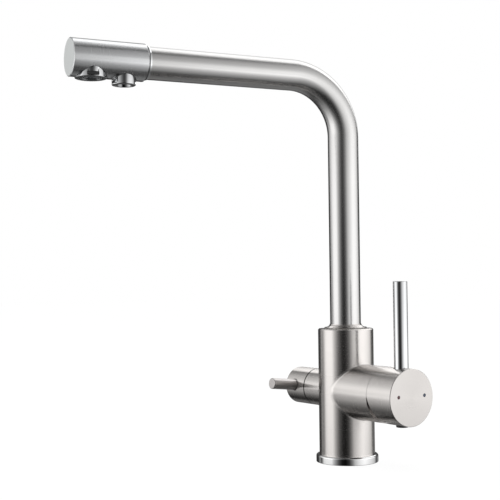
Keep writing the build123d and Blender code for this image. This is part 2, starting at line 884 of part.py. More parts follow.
def outlet_block():
    """Divides the head: mixed water over the top to the aerator, drinking water down to the nozzle."""
    start = outlet_block_start()
    end = spout_reach - end_cap_thickness - end_cap_spigot - outlet_block_gap
    aerator_top = aerator_bottom + aerator_height + gasket_thickness + 2 * seat_gap
    nozzle_top = nozzle_bottom + nozzle_height + gasket_thickness + 2 * seat_gap
    solid = along_spout * rod(head_bore - seat_gap, start, end)
    solid -= rod(aerator_diameter / 2 + seat_gap, head_underside - 1, aerator_top, 0, -aerator_position)
    solid -= rod(nozzle_diameter / 2 + seat_gap, head_underside - 1, nozzle_top, 0, -nozzle_position)
    upper = spout_height + mixed_channel_offset
    solid -= channel(mixed_channel_radius, (0, -start + 5, upper), (0, -aerator_position, upper),
                     (0, -aerator_position, aerator_top - 1))
    solid -= along_spout * rod(water_tube_radius + seat_gap, start - 1, start + water_tube_overlap + seat_gap)
    solid -= channel(water_tube_radius - water_tube_wall, (0, -start - 4, spout_height),
                     (0, -nozzle_position, spout_height), (0, -nozzle_position, nozzle_top - 1))
    return spout_turn * solid


def at_outlet(position):
    return spout_turn * Pos(0, -position, 0)


def key_notches(radius, width, low, height, angle):
    """Two blind notches for a pin key, opposite each other in the side of an outlet."""
    notch = Pos(radius, 0, low + height / 2) * Box(2 * notch_depth, width, height)
    notch = fillet(notch.edges().filter_by(Axis.X), notch_rounding)
    return [Rot(0, 0, angle + half_turn) * notch for half_turn in (0, 180)]


def aerator_housing():
    outer = aerator_diameter / 2
    inner = outer - aerator_wall
    top = aerator_bottom + aerator_height
    solid = ring(outer, inner - aerator_lip, aerator_bottom, top)
    solid -= rod(inner, aerator_bottom + aerator_lip, top + 1)
    low = aerator_bottom + notch_rim
    for notch in key_notches(outer, aerator_notch_width, low, aerator_notch_height, aerator_notch_angle):
        solid -= notch
    return at_outlet(aerator_position) * solid


def aerator_insert():
    outer = aerator_diameter / 2 - aerator_wall - seat_gap
    start = aerator_bottom + aerator_lip + insert_recess
    end = aerator_bottom + aerator_height
    solid = rod(outer, start, end)
    for hole in hole_rosette(insert_hole_radius, insert_hole_pitch, start - 1, end + 1, outer - insert_rim):
        solid -= hole
    return at_outlet(aerator_position) * solid


def aerator_gasket():
    start = aerator_bottom + aerator_height + seat_gap
    outer = aerator_diameter / 2 - 0.2
    return at_outlet(aerator_position) * ring(outer, outer - 3.0, start, start + gasket_thickness)


def filter_nozzle():
    outer = nozzle_diameter / 2
    top = nozzle_bottom + nozzle_height
    solid = rod(outer, nozzle_bottom, top)
    solid = fillet(solid.edges().group_by(Axis.Z)[0], nozzle_rounding)
    solid -= rod(nozzle_bore_radius, nozzle_bottom - 1, nozzle_bottom + nozzle_bore_depth)
    solid -= rod(water_tube_radius, nozzle_bottom, top + 1)
    low = nozzle_bottom + notch_rim
    for notch in key_notches(outer, nozzle_notch_width, low, nozzle_notch_height, nozzle_notch_angle):
        solid -= notch
    return at_outlet(nozzle_position) * solid


def nozzle_insert():
    start = nozzle_bottom + nozzle_recess
    end = nozzle_bottom + nozzle_bore_depth
    outer = nozzle_bore_radius - seat_gap
    solid = rod(outer, start, end)
    for hole in hole_rosette(nozzle_hole_radius, nozzle_hole_pitch, start - 1, end + 1, outer - insert_rim):
        solid -= hole
    return at_outlet(nozzle_position) * solid


def nozzle_gasket():
    start = nozzle_bottom + nozzle_height + seat_gap
    outer = nozzle_diameter / 2 - 0.2
    return at_outlet(nozzle_position) * ring(outer, outer - 3.0, start, start + gasket_thickness)


pieces = {
    "base_ring": base_ring,
    "base_seal": base_seal,
    "inlet_block": inlet_block,
    "inlet_gasket": inlet_gasket,
    "body_column": body_column,
    "mixer_boss": mixer_boss,
    "filter_boss": filter_boss,
    "spout_keeper_screw": spout_keeper_screw,
    "swivel_bush": swivel_bush,
    "cartridge_port_seals": cartridge_port_seals,
    "cartridge_base": cartridge_base,
    "cartridge_fixed_disc": cartridge_fixed_disc,
    "cartridge_housing": cartridge_housing,
    "cartridge_nut": cartridge_nut,
    "cartridge_dome": cartridge_dome,
    "cartridge_rotor": cartridge_rotor,
    "lever_pivot_pin": lever_pivot_pin,
    "cartridge_moving_disc": cartridge_moving_disc,
    "disc_carrier": disc_carrier,
    "lever_stem": lever_stem,
    "mixer_hub": mixer_hub,
    "mixer_lever": mixer_lever,
    "mixer_grub_screw": mixer_grub_screw,
    "mixer_grub_plug": mixer_grub_plug,
    "hot_marker": lambda: marker(-1),
    "cold_marker": lambda: marker(1),
    "filter_valve_seal": filter_valve_seal,
    "filter_valve_body": filter_valve_body,
    "filter_fixed_disc": filter_fixed_disc,
    "filter_moving_disc": filter_moving_disc,
    "filter_spindle": filter_spindle,
    "spindle_clip": spindle_clip,
    "filter_hub": filter_hub,
    "filter_lever": filter_lever,
    "filter_grub_screw": filter_grub_screw,
    "spout_tube": spout_tube,
    "spout_collar": spout_collar,
    "spout_adaptor": spout_adaptor,
    "spout_o_rings": spout_o_rings,
    "filter_water_tube": filter_water_tube,
    "spout_head": spout_head,
    "head_ring": head_ring,
    "head_end_cap": head_end_cap,
    "outlet_block": outlet_block,
    "aerator_housing": aerator_housing,
    "aerator_insert": aerator_insert,
    "aerator_gasket": aerator_gasket,
    "filter_nozzle": filter_nozzle,
    "nozzle_insert": nozzle_insert,
    "nozzle_gasket": nozzle_gasket,
}


def write_parts():
    os.makedirs("parts", exist_ok=True)
    for name, make in pieces.items():
        shape = make()
        if isinstance(shape, list):
            shape = Compound(children=shape)
        export_step(shape, f"parts/{name}.step")


write_parts()
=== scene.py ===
"""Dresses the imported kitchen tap: turned and bent pieces, metal finishes and a photographer's table."""

import logging
import math
from dataclasses import dataclass
from enum import Enum
from itertools import pairwise
from typing import Callable, ClassVar, Optional, Sequence

import bpy
from mathutils import Matrix, Vector

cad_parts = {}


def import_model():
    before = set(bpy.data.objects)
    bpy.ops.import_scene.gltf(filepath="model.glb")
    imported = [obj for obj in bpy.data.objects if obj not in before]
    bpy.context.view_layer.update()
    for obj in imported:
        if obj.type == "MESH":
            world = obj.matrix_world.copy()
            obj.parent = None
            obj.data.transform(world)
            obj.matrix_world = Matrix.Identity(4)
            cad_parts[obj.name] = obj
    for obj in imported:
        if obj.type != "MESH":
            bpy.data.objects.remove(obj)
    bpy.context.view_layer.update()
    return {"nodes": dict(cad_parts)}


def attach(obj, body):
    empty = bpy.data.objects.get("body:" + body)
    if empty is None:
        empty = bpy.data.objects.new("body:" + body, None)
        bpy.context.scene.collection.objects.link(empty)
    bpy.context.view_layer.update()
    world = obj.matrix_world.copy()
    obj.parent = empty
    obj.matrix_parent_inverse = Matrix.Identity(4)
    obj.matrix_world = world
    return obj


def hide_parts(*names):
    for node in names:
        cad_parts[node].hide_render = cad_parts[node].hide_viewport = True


Piece = bpy.types.Object
Tree = bpy.types.NodeTree
Socket = bpy.types.NodeSocket
Inputs = dict[int | str, object]
Triple = tuple[float, float, float]
Corners = list[tuple[float, float]]
Stops = Sequence[tuple[float, float]]

MM = 0.001
BODY_AXIS = (0.0, 0.0, 1.0)
HANDLE_AXIS = (1.0, 0.0, 0.0)
HANDLE_HEIGHT = 57.5
SPOUT_HEIGHT = 312.4
SPOUT_REST_ANGLE = -9.0
SPOUT_AXIS = (math.sin(math.radians(SPOUT_REST_ANGLE)), -math.cos(math.radians(SPOUT_REST_ANGLE)), 0.0)
MERGE_DISTANCE = 0.001 * MM
BEVEL_LIMIT = math.radians(28)  # an edge that turns by more is rounded
SMOOTH_LIMIT = math.radians(32)  # an edge that turns by more stays sharp
LOOKS_ALONG = 0.99  # cosine above which a face looks along an axis

log = logging.getLogger("tap")


class Brushing(Enum):
    """How the fine abrasive lines of a metal finish lie on a piece."""

    ROUND_AN_AXIS = "round an axis"
    ALONG_THE_MAP = "along the piece's own map"


class Facing(Enum):
    """Which way a turned piece points once it leaves the lathe."""

    MIXER = "mixer"
    FILTER = "filter"
    SPOUT = "spout"


# Colour and node helpers


def linear(hex_colour: str) -> Triple:
    """Turn an sRGB hex colour into Blender's linear values.

    Args:
        hex_colour: Six hex digits with a leading hash.

    Returns:
        Red, green and blue.
    """
    values = [int(hex_colour[i:i + 2], 16) / 255 for i in (1, 3, 5)]
    red, green, blue = (v / 12.92 if v <= 0.04045 else ((v + 0.055) / 1.055) ** 2.4 for v in values)
    return red, green, blue


def fill(tree: Tree, node: bpy.types.Node, inputs: Inputs) -> None:
    """Set or link a node's inputs.

    Args:
        tree: The node tree that holds the node.
        node: The node.
        inputs: Values or output sockets by input name or number.
    """
    for name, value in inputs.items():
        if isinstance(value, Socket):
            tree.links.new(value, node.inputs[name])
        else:
            node.inputs[name].default_value = value


def add_node(tree: Tree, kind: str, inputs: Optional[Inputs] = None, output: int | str = 0,
             **settings: object) -> Optional[Socket]:
    """Add one node with its settings and links.

    Args:
        tree: The node tree that takes the node.
        kind: The node's type name without its first word, ShaderNode.
        inputs: Values or output sockets by input name or number.
        output: Name or number of the output that is wanted.
        settings: Attributes of the node itself.

    Returns:
        That output, or None from a node that has no outputs.
    """
    node = tree.nodes.new(f"ShaderNode{kind}")
    for name, value in settings.items():
        setattr(node, name, value)
    fill(tree, node, inputs or {})
    return node.outputs[output] if len(node.outputs) else None


# Finishes


@dataclass(frozen=True)
class Finish:
    """A surface of one colour and gloss, both disturbed a little by its grain."""

    name: str
    colour: str
    roughness: float

    def material(self) -> bpy.types.Material:
        """Build the node material, once for each name.

        Returns:
            The material.
        """
        found = bpy.data.materials.get(self.name)
        if found:
            return found
        material = bpy.data.materials.new(self.name)
        material.use_nodes = True
        tree = material.node_tree
        fill(tree, tree.nodes["Principled BSDF"], self.surface(tree))
        return material

    def surface(self, tree: Tree) -> Inputs:
        """Return the shader's inputs, drawn in the material's tree by each kind of finish."""
        raise NotImplementedError

    def disturbed(self, tree: Tree, relief: Inputs, gloss: Inputs, shade: Socket) -> Inputs:
        """Join the grain to the shader.

        Args:
            tree: The material's node tree.
            relief: The bump's inputs.
            gloss: Inputs of the range that the grain moves the roughness in.
            shade: What the colour is multiplied by.

        Returns:
            The shader's normal, roughness and base colour.
        """
        return {
            "Normal": add_node(tree, "Bump", relief),
            "Roughness": add_node(tree, "MapRange", gloss),
            "Base Color": add_node(tree, "VectorMath", {0: linear(self.colour), "Scale": shade},
                                   operation="SCALE")}


@dataclass(frozen=True)
class BrushedSteel(Finish):
    """Stainless steel polished on a belt or lathe with fine grit.

    The lines run round each cylinder, so it mirrors its surroundings in soft bands along its length.
    """

    colour: str = "#dad6d3"
    roughness: float = 0.26
    directional: float = 0.86
    line_spacing_mm: float = 0.45  # grit 240 leaves about 0.06 mm: drawn coarser, so that it shows
    line_depth_mm: float = 0.004
    line_relief: float = 0.22
    line_detail: float = 3.0
    line_harshness: float = 0.6
    drift_per_metre: float = 50.0  # a line wanders about once in 20 mm
    map_drift: float = 60.0
    variation: float = 0.04
    cloud_per_metre: float = 38.0
    cloud_detail: float = 2.0
    cloud_shade: float = 0.93
    brushing: Brushing = Brushing.ROUND_AN_AXIS
    axis: Triple = BODY_AXIS
    centre_mm: Triple = (0.0, 0.0, 0.0)
    lapped_from_mm: float = 1000.0  # height along the axis of a flat end that is lapped dull and has no lines
    lapped_shade: float = 0.8
    lapped_edge_mm: float = 0.04
    rim_from: float = 0.6  # where the surface has turned away from the viewer enough for the painted rim shade to begin
    rim_to: float = 0.8
    rim_painted_shade: float = 0.9  # painted shade: colour and edge gloss kept at a grazing angle, which darkens the outline
    seam_at_mm: float = 1000.0  # place along the axis of a narrow seam, whose two lips get painted shade as from the shadowed gap
    seam_width_mm: float = 1.1
    seam_softness: float = 1.3
    seam_painted_shade: float = 0.25
    saddle_radius_mm: float = 0.0  # of the upright body that the piece grows out of, or none
    saddle_width_mm: float = 2.2

    def surface(self, tree: Tree) -> Inputs:
        """Draw the brush lines, the slow clouds between them, the saddle, and painted shade at the seam and
        along the rim.

        Args:
            tree: The material's node tree.

        Returns:
            The shader's inputs.
        """
        place = add_node(tree, "TexCoord", output="Object")
        on_map = self.brushing is Brushing.ALONG_THE_MAP
        pattern, tangent = self._on_map(tree) if on_map else self._round_axis(tree, place)
        lines = add_node(tree, "TexNoise", {
            "Vector": pattern, "Scale": 1.0, "Detail": self.line_detail, "Roughness": self.line_harshness})
        slow = add_node(tree, "TexNoise", {
            "Vector": place, "Scale": self.cloud_per_metre, "Detail": self.cloud_detail})
        shade = add_node(tree, "MapRange", {"Value": slow, "To Min": self.cloud_shade, "To Max": 1.0})
        height = add_node(tree, "VectorMath", {0: place, 1: self.axis}, "Value", operation="DOT_PRODUCT")
        # the lapped end's tone and the painted shade of seam and rim darken the colour
        shades = self._lapped_and_painted_shades(tree, height)
        for part in shades:
            shade = add_node(tree, "Math", {0: shade, 1: part}, operation="MULTIPLY")
        relief = {"Strength": self.line_relief, "Distance": self.line_depth_mm * MM, "Height": lines}
        if self.saddle_radius_mm:
            relief["Normal"] = self._saddled(tree, place)
        gloss = {"Value": lines, "To Min": self.roughness - self.variation,
                 "To Max": self.roughness + self.variation}
        # the Specular Tint takes the painted rim shade, which also dims the edge gloss
        return {"Metallic": 1.0, "Anisotropic": self.directional, "Tangent": tangent,
                "Specular Tint": shades[2], **self.disturbed(tree, relief, gloss, shade)}

    def _round_axis(self, tree: Tree, place: Socket) -> tuple[Socket, Socket]:
        """Lay the lines round the axis, on the sides and on the end faces.

        Args:
            tree: The material's node tree.
            place: The place on the piece.

        Returns:
            Where the lines' noise is read, and the world direction in which the gloss is drawn out.
        """
        centre = tuple(v * MM for v in self.centre_mm)
        arm = add_node(tree, "VectorMath", {0: place, 1: centre}, operation="SUBTRACT")
        along = add_node(tree, "VectorMath", {0: arm, 1: self.axis}, "Value", operation="DOT_PRODUCT")
        shadow = add_node(tree, "VectorMath", {0: self.axis, "Scale": along}, operation="SCALE")
        across = add_node(tree, "VectorMath", {0: arm, 1: shadow}, operation="SUBTRACT")
        radius = add_node(tree, "VectorMath", {0: across}, "Value", operation="LENGTH")
        fine = add_node(tree, "CombineXYZ", {"X": along, "Y": radius})
        drift = add_node(tree, "VectorMath", {0: place, "Scale": self.drift_per_metre}, operation="SCALE")
        pattern = add_node(tree, "VectorMath", {
            0: fine, 1: (1 / (self.line_spacing_mm * MM),) * 3, 2: drift}, operation="MULTIPLY_ADD")
        round_way = add_node(tree, "VectorMath", {0: self.axis, 1: arm}, operation="CROSS_PRODUCT")
        normal = add_node(tree, "NewGeometry", output="Normal")
        return pattern, add_node(tree, "VectorMath", {0: self._in_world(tree, round_way), 1: normal},
                                 operation="CROSS_PRODUCT")

    def _on_map(self, tree: Tree) -> tuple[Socket, Socket]:
        """Lay the lines across a bent tube, where the map's U is the length in metres.

        Args:
            tree: The material's node tree.

        Returns:
            Where the lines' noise is read, and the world direction in which the gloss is drawn out.
        """
        unrolled = add_node(tree, "TexCoord", output="UV")
        pattern = add_node(tree, "VectorMath", {
            0: unrolled, 1: (1 / (self.line_spacing_mm * MM), self.map_drift, 1.0)}, operation="MULTIPLY")
        length_way = add_node(tree, "Attribute", output="Vector", attribute_name="length_way")
        return pattern, self._in_world(tree, length_way)

    def _saddled(self, tree: Tree, place: Socket) -> Socket:
        """Let the piece run softly into the upright body, as the grinding of the saddle leaves it.

        Args:
            tree: The material's node tree.
            place: The place on the piece.

        Returns:
            The normal in world space, which turns into the upright body's at the saddle.
        """
        out = add_node(tree, "VectorMath", {0: place, 1: (1, 1, 0)}, operation="MULTIPLY")
        away = add_node(tree, "VectorMath", {0: out}, "Value", operation="LENGTH")
        share = add_node(tree, "MapRange", {
            "Value": away, "From Min": self.saddle_radius_mm * MM, "To Min": 1.0, "To Max": 0.0,
            "From Max": (self.saddle_radius_mm + self.saddle_width_mm) * MM}, interpolation_type="SMOOTHSTEP")
        own = add_node(tree, "NewGeometry", output="Normal")
        upright = add_node(tree, "VectorMath", {0: self._in_world(tree, out)}, operation="NORMALIZE")
        change = add_node(tree, "VectorMath", {0: upright, 1: own}, operation="SUBTRACT")
        turned_by = add_node(tree, "VectorMath", {0: change, "Scale": share}, operation="SCALE")
        mixed = add_node(tree, "VectorMath", {0: own, 1: turned_by}, operation="ADD")
        return add_node(tree, "VectorMath", {0: mixed}, operation="NORMALIZE")

    def _lapped_and_painted_shades(self, tree: Tree, height: Socket) -> list[Socket]:
        """Darken the lapped end, and paint shade on the seam's two lips and on the rim, where the surface
        turns away.

        Args:
            tree: The material's node tree.
            height: The place along the axis.

        Returns:
            A factor for each of the three, which is one where it has no part.
        """
        facing = add_node(tree, "LayerWeight", {"Blend": 0.5}, "Facing")
        off = add_node(tree, "Math", {0: height, 1: self.seam_at_mm * MM}, operation="SUBTRACT")
        gap = add_node(tree, "Math", {0: off}, operation="ABSOLUTE")
        lip, lapped = self.seam_width_mm / 2 * MM, self.lapped_from_mm * MM
        return [add_node(tree, "MapRange", {
            "Value": value, "From Min": start, "From Max": end, "To Min": first, "To Max": last})
                for value, start, end, first, last in (
                    (height, lapped - self.lapped_edge_mm * MM, lapped, 1.0, self.lapped_shade),
                    (gap, lip, lip * self.seam_softness, self.seam_painted_shade, 1.0),
                    (facing, self.rim_from, self.rim_to, 1.0, self.rim_painted_shade))]

    @staticmethod
    def _in_world(tree: Tree, direction: Socket) -> Socket:
        """Return a direction of the piece turned with it as it moves."""
        return add_node(tree, "VectorTransform", {0: direction}, vector_type="VECTOR",
                        convert_from="OBJECT", convert_to="WORLD")


@dataclass(frozen=True)
class Grained(Finish):
    """Anything with no direction in its surface, such as what is moulded or glazed inside the tap."""

    grain_mm: float = 0.5
    grain_depth_mm: float = 0.01
    coat: float = 0.0
    metallic: float = 0.0
    relief: float = 0.5
    detail: float = 2.0
    harshness: float = 0.5
    gloss_share: tuple[float, float] = (0.85, 1.15)
    shades: tuple[float, float] = (0.94, 1.03)

    def surface(self, tree: Tree) -> Inputs:
        """Draw the grain.

        Args:
            tree: The material's node tree.

        Returns:
            The shader's inputs.
        """
        place = add_node(tree, "TexCoord", output="Object")
        grain = add_node(tree, "TexNoise", {
            "Vector": place, "Scale": 1 / (self.grain_mm * MM), "Detail": self.detail,
            "Roughness": self.harshness})
        relief = {"Strength": self.relief, "Distance": self.grain_depth_mm * MM,
                  "Height": self.raised(tree, place, grain)}
        smoothest, dullest = self.roughnesses()
        darkest, palest = self.shades
        shade = add_node(tree, "MapRange", {"Value": grain, "To Min": darkest, "To Max": palest})
        gloss = {"Value": grain, "To Min": smoothest, "To Max": dullest}
        return {"Metallic": self.metallic, "Coat Weight": self.coat,
                **self.disturbed(tree, relief, gloss, shade)}

    def raised(self, tree: Tree, place: Socket, grain: Socket) -> Socket:
        """Return what lifts the surface."""
        return grain

    def roughnesses(self) -> tuple[float, float]:
        """Return the least and the greatest roughness."""
        return self.roughness * self.gloss_share[0], min(1.0, self.roughness * self.gloss_share[1])


@dataclass(frozen=True)
class PolishedChrome(Grained):
    """Chromium plate over polished brass: a near mirror with the faint waviness that buffing leaves."""

    roughness: float = 0.045
    grain_mm: float = 2.5
    metallic: float = 1.0
    relief: float = 0.3
    detail: float = 4.0
    gloss_share: tuple[float, float] = (0.6, 1.5)
    shades: tuple[float, float] = (0.97, 1.0)
    wave_mm: float = 9.0

    def raised(self, tree: Tree, place: Socket, grain: Socket) -> Socket:
        """Return the slow wave, which the grain's haze has no part in."""
        scale = 1 / (self.wave_mm * MM)
        return add_node(tree, "TexNoise", {"Vector": place, "Scale": scale, "Detail": 1.0})


@dataclass(frozen=True)
class SatinMetal(Grained):
    """Metal that is blasted, lightly lapped or left as it was turned or headed: pale, with no direction."""

    roughness: float = 0.36
    grain_mm: float = 0.35
    grain_depth_mm: float = 0.004
    metallic: float = 1.0
    relief: float = 0.4
    detail: float = 3.0
    harshness: float = 0.7
    shades: tuple[float, float] = (0.95, 1.0)
    variation: float = 0.05

    def roughnesses(self) -> tuple[float, float]:
        """Return the least and the greatest roughness."""
        return self.roughness - self.variation, self.roughness + self.variation


# Chrome and steel on the outside
CHROME = PolishedChrome("polished_chrome_plate", "#cfd0d1")
RING_CHROME = PolishedChrome("polished_chrome_base_ring", "#e4e4e4")
BODY_STEEL = BrushedSteel("brushed_steel_body")
# the rim value on tube and head sets how dark their painted outline shade is
SPOUT_STEEL = BrushedSteel("brushed_steel_spout_tube", "#d8d7d6", brushing=Brushing.ALONG_THE_MAP,
                           rim_painted_shade=0.65)
HEAD_STEEL = BrushedSteel("brushed_steel_spout_head", "#e4e5e6", axis=SPOUT_AXIS,
                          centre_mm=(0.0, 0.0, SPOUT_HEIGHT), rim_painted_shade=0.35)
# the seam on the handles is painted shade along the gap between filter boss and hub
HANDLE_STEEL = BrushedSteel("brushed_steel_handles", axis=HANDLE_AXIS, centre_mm=(0.0, 0.0, HANDLE_HEIGHT),
                            seam_at_mm=-37.6)
BOSS_STEEL = BrushedSteel("brushed_steel_mixer_boss", axis=HANDLE_AXIS, centre_mm=(0.0, 0.0, HANDLE_HEIGHT),
                          saddle_radius_mm=22.5)
HUB_STEEL = BrushedSteel("brushed_steel_mixer_hub", axis=HANDLE_AXIS, centre_mm=(0.0, 0.0, HANDLE_HEIGHT),
                         lapped_from_mm=77.38)
FACE_STEEL = SatinMetal("satin_lapped_steel", "#cfcbc9")
CAP_STEEL = SatinMetal("satin_lapped_end_cap", "#dde0df")

# Inside, seen only from below or when a lever is lifted
BRASS = SatinMetal("turned_brass", "#c9a25e", 0.3)  # bare under the plate, so a warm yellow
SCREW_STEEL = SatinMetal("cold_headed_steel", "#a9a8a6", 0.32)  # plain and slightly dull
SEAL_RUBBER = Grained("moulded_nitrile_rubber", "#1b1b1c", 0.62)  # dull black
HARD_NYLON = Grained("moulded_nylon", "#cfcdc6", 0.5)  # milky, half dull
BEARING_PLASTIC = Grained("moulded_acetal", "#e6e5df", 0.38)  # white and a little slippery
HOSE_PLASTIC = Grained("extruded_polyethylene", "#e9e9e4", 0.42)  # white and waxy
SPRAY_PLASTIC = Grained("moulded_grey_acetal", "#4c4e50", 0.35)  # dark grey behind the drilled holes
NOTCH_PAINTED_SHADE = Grained("painted_shade_in_key_notches", "#3a3a3b", 0.5)  # painted shade: dark and dull in the key notches, where shade falls
CERAMIC = Grained("lapped_alumina_ceramic", "#f1ede2", 0.16, 0.2, 0.002, 0.4)  # ivory, flat and glossy
PLUG_PLASTIC = Grained("moulded_charcoal_nylon", "#242425", 0.5)  # near black
RED_ENAMEL = Grained("red_enamel_fill", "#4a0f19", 0.3, 0.3, 0.003, 0.3)  # deep and glassy
BLUE_ENAMEL = Grained("blue_enamel_fill", "#1d3150", 0.3, 0.3, 0.003, 0.3)  # deep and glassy


# Modelling helpers


def deselect() -> None:
    """Leave edit mode if it is on, and select nothing."""
    if bpy.context.object and bpy.context.object.mode != "OBJECT":
        bpy.ops.object.mode_set(mode="OBJECT")
    bpy.ops.object.select_all(action="DESELECT")


def make_active(piece: Piece) -> None:
    """Select one object alone and make it the active one.

    Args:
        piece: The object to work on.
    """
    deselect()
    piece.select_set(True)
    bpy.context.view_layer.objects.active = piece


def write_place() -> None:
    """Write the active piece's place, turn and scale into its mesh."""
    bpy.ops.object.transform_apply(location=True, rotation=True, scale=True)


def shift(x: float, y: float, z: float) -> Matrix:
    """Return a move by so many millimetres."""
    return Matrix.Translation((x * MM, y * MM, z * MM))


def rotate(degrees: float, axis: str) -> Matrix:
    """Return a turn about one of the main axes."""
    return Matrix.Rotation(math.radians(degrees), 4, axis)


def seat(facing: Facing) -> Matrix:
    """Give the move from the lathe to the tap.

    Args:
        facing: Which of the tap's axes the piece lies on.

    Returns:
        The matrix that lays a piece turned about Z on that axis.
    """
    if facing is Facing.SPOUT:
        return rotate(SPOUT_REST_ANGLE, "Z") @ shift(0, 0, SPOUT_HEIGHT) @ rotate(90, "X")
    return shift(0, 0, HANDLE_HEIGHT) @ rotate(90 if facing is Facing.MIXER else -90, "Y")


def settle(piece: Piece, place: Matrix) -> None:
    """Move a piece to its place and write the place into its mesh.

    Args:
        piece: The piece.
        place: The move from where it was made.
    """
    make_active(piece)
    piece.matrix_world = place @ piece.matrix_world
    write_place()


def apply_modifier(piece: Piece, kind: str, **settings: object) -> None:
    """Add a modifier and apply it at once.

    Args:
        piece: The piece that takes the modifier.
        kind: The modifier's type name.
        settings: The modifier's attributes.
    """
    make_active(piece)
    modifier = piece.modifiers.new(kind.lower(), kind)
    for name, value in settings.items():
        setattr(modifier, name, value)
    bpy.ops.object.modifier_apply(modifier=modifier.name)


def soften(piece: Piece, width_mm: float, segments: int = 3) -> None:
    """Round a piece's sharp edges.

    Args:
        piece: The piece.
        width_mm: Width of the rounding.
        segments: Faces across the rounding.
    """
    apply_modifier(piece, "BEVEL", width=width_mm * MM, segments=segments, limit_method="ANGLE",
                   angle_limit=BEVEL_LIMIT)


def shade(piece: Piece) -> None:
    """Shade smoothly, with flat faces kept flat.

    Args:
        piece: The piece.
    """
    make_active(piece)
    bpy.ops.object.shade_smooth_by_angle(angle=SMOOTH_LIMIT)
    apply_modifier(piece, "WEIGHTED_NORMAL", keep_sharp=True, weight=80)


def start_circle(name: str, radius: float, height: float, sides: int, filled: bool = False) -> Piece:
    """Draw a circle about Z and open it for shaping, all of it selected.

    Args:
        name: The piece's name.
        radius: Its radius in millimetres.
        height: Its height.
        sides: Faces round the piece.
        filled: Whether it is a disc.

    Returns:
        The new piece.
    """
    deselect()
    bpy.ops.mesh.primitive_circle_add(vertices=sides, radius=radius * MM, location=(0, 0, height * MM),
                                      fill_type="NGON" if filled else "NOTHING")
    piece = bpy.context.active_object
    piece.name = name
    bpy.ops.object.mode_set(mode="EDIT")
    bpy.ops.mesh.select_all(action="SELECT")
    return piece


def end_shaping() -> None:
    """Merge what meets, turn the faces outwards and write the place into the mesh."""
    bpy.ops.mesh.select_all(action="SELECT")
    bpy.ops.mesh.remove_doubles(threshold=MERGE_DISTANCE)
    bpy.ops.mesh.normals_make_consistent(inside=False)
    bpy.ops.object.mode_set(mode="OBJECT")
    write_place()


def extrude(x: float, y: float, z: float) -> None:
    """Draw the selected edges out by so many millimetres."""
    bpy.ops.mesh.extrude_edges_move(TRANSFORM_OT_translate={"value": (x * MM, y * MM, z * MM)})


def turned(name: str, profile: Corners, bored: bool = False, sides: int = 96) -> Piece:
    """Turn a piece about Z as on a lathe: a circle is drawn out and resized from corner to corner.

    Args:
        name: The piece's name.
        profile: Radius and height of each corner in millimetres, from the outside foot upwards.
        bored: Whether the profile goes round a hole and back to its first corner.
        sides: Faces round the piece.

    Returns:
        The closed piece, still on the lathe.
    """
    piece = start_circle(name, *profile[0], sides, filled=not bored)
    corners = profile + profile[:1] if bored else profile
    for (radius, height), (next_radius, next_height) in pairwise(corners):
        extrude(0, 0, next_height - height)
        if next_radius != radius:
            bpy.ops.transform.resize(value=(next_radius / radius, next_radius / radius, 1),
                                     center_override=(0, 0, next_height * MM))
    if not bored:
        bpy.ops.mesh.edge_face_add()
    end_shaping()
    return piece


def arc(radius: float, height: float, size: float, start: float, end: float, steps: int) -> Corners:
    """Give the corners of a rounded edge in a turned profile.

    Args:
        radius: Radius of the rounding's centre from the axis, in millimetres.
        height: Height of the rounding's centre.
        size: The rounding's own radius.
        start: First angle in degrees, from outwards, anticlockwise.
        end: Last angle in degrees.
        steps: Faces across the rounding.

    Returns:
        The corners, both ends included.
    """
    angles = [math.radians(start + (end - start) * step / steps) for step in range(steps + 1)]
    return [(radius + size * math.cos(a), height + size * math.sin(a)) for a in angles]


def thread(radius: float, start: float, end: float, pitch: float, depth: float) -> Corners:
    """Give the corners of a screw thread, drawn as rings.

    Args:
        radius: The thread's outer radius in millimetres.
        start: Height where it begins.
        end: Height where it ends.
        pitch: Distance between crests.
        depth: Depth of the root.

    Returns:
        The corners from start to end.
    """
    turns = max(1, int(abs(end - start) / pitch))
    step = (end - start) / turns
    corners = []
    for turn in range(turns):
        foot = start + turn * step
        corners += [(radius - depth, foot + 0.1 * step), (radius, foot + 0.4 * step),
                    (radius, foot + 0.6 * step), (radius - depth, foot + 0.9 * step)]
    return corners


def cut(piece: Piece, tool: Piece) -> None:
    """Cut a piece with another one, which is used up.

    Args:
        piece: The piece that is kept.
        tool: The cutter.
    """
    apply_modifier(piece, "BOOLEAN", operation="DIFFERENCE", object=tool, solver="EXACT")
    bpy.data.objects.remove(tool)


def dress(piece: Piece, body: str, node: str, finish: Finish,
          place: Optional[Matrix] = None) -> None:
    """Shade a piece, lay it in its place, give it its material and body, and hide the node that it stands
    for.

    Args:
        piece: The shaped piece.
        body: The CAD body that carries it.
        node: The CAD node that it replaces.
        finish: The finish that covers it.
        place: The move from the lathe, for a piece that is still on it.
    """
    shade(piece)
    if place is not None:
        settle(piece, place)
    piece.data.materials.clear()
    piece.data.materials.append(finish.material())
    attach(piece, body)
    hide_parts(node)
    log.info("%s replaces %s on %s", piece.name, node, body)


def face_in(piece: Piece, finish: Finish, belongs: Callable[[Vector, Vector], bool]) -> None:
    """Give some of a piece's faces a second finish.

    Args:
        piece: The piece.
        finish: The second finish.
        belongs: Says from a face's centre and normal whether it takes that finish.
    """
    piece.data.materials.append(finish.material())
    for polygon in piece.data.polygons:
        if belongs(polygon.center, polygon.normal):
            polygon.material_index = len(piece.data.materials) - 1


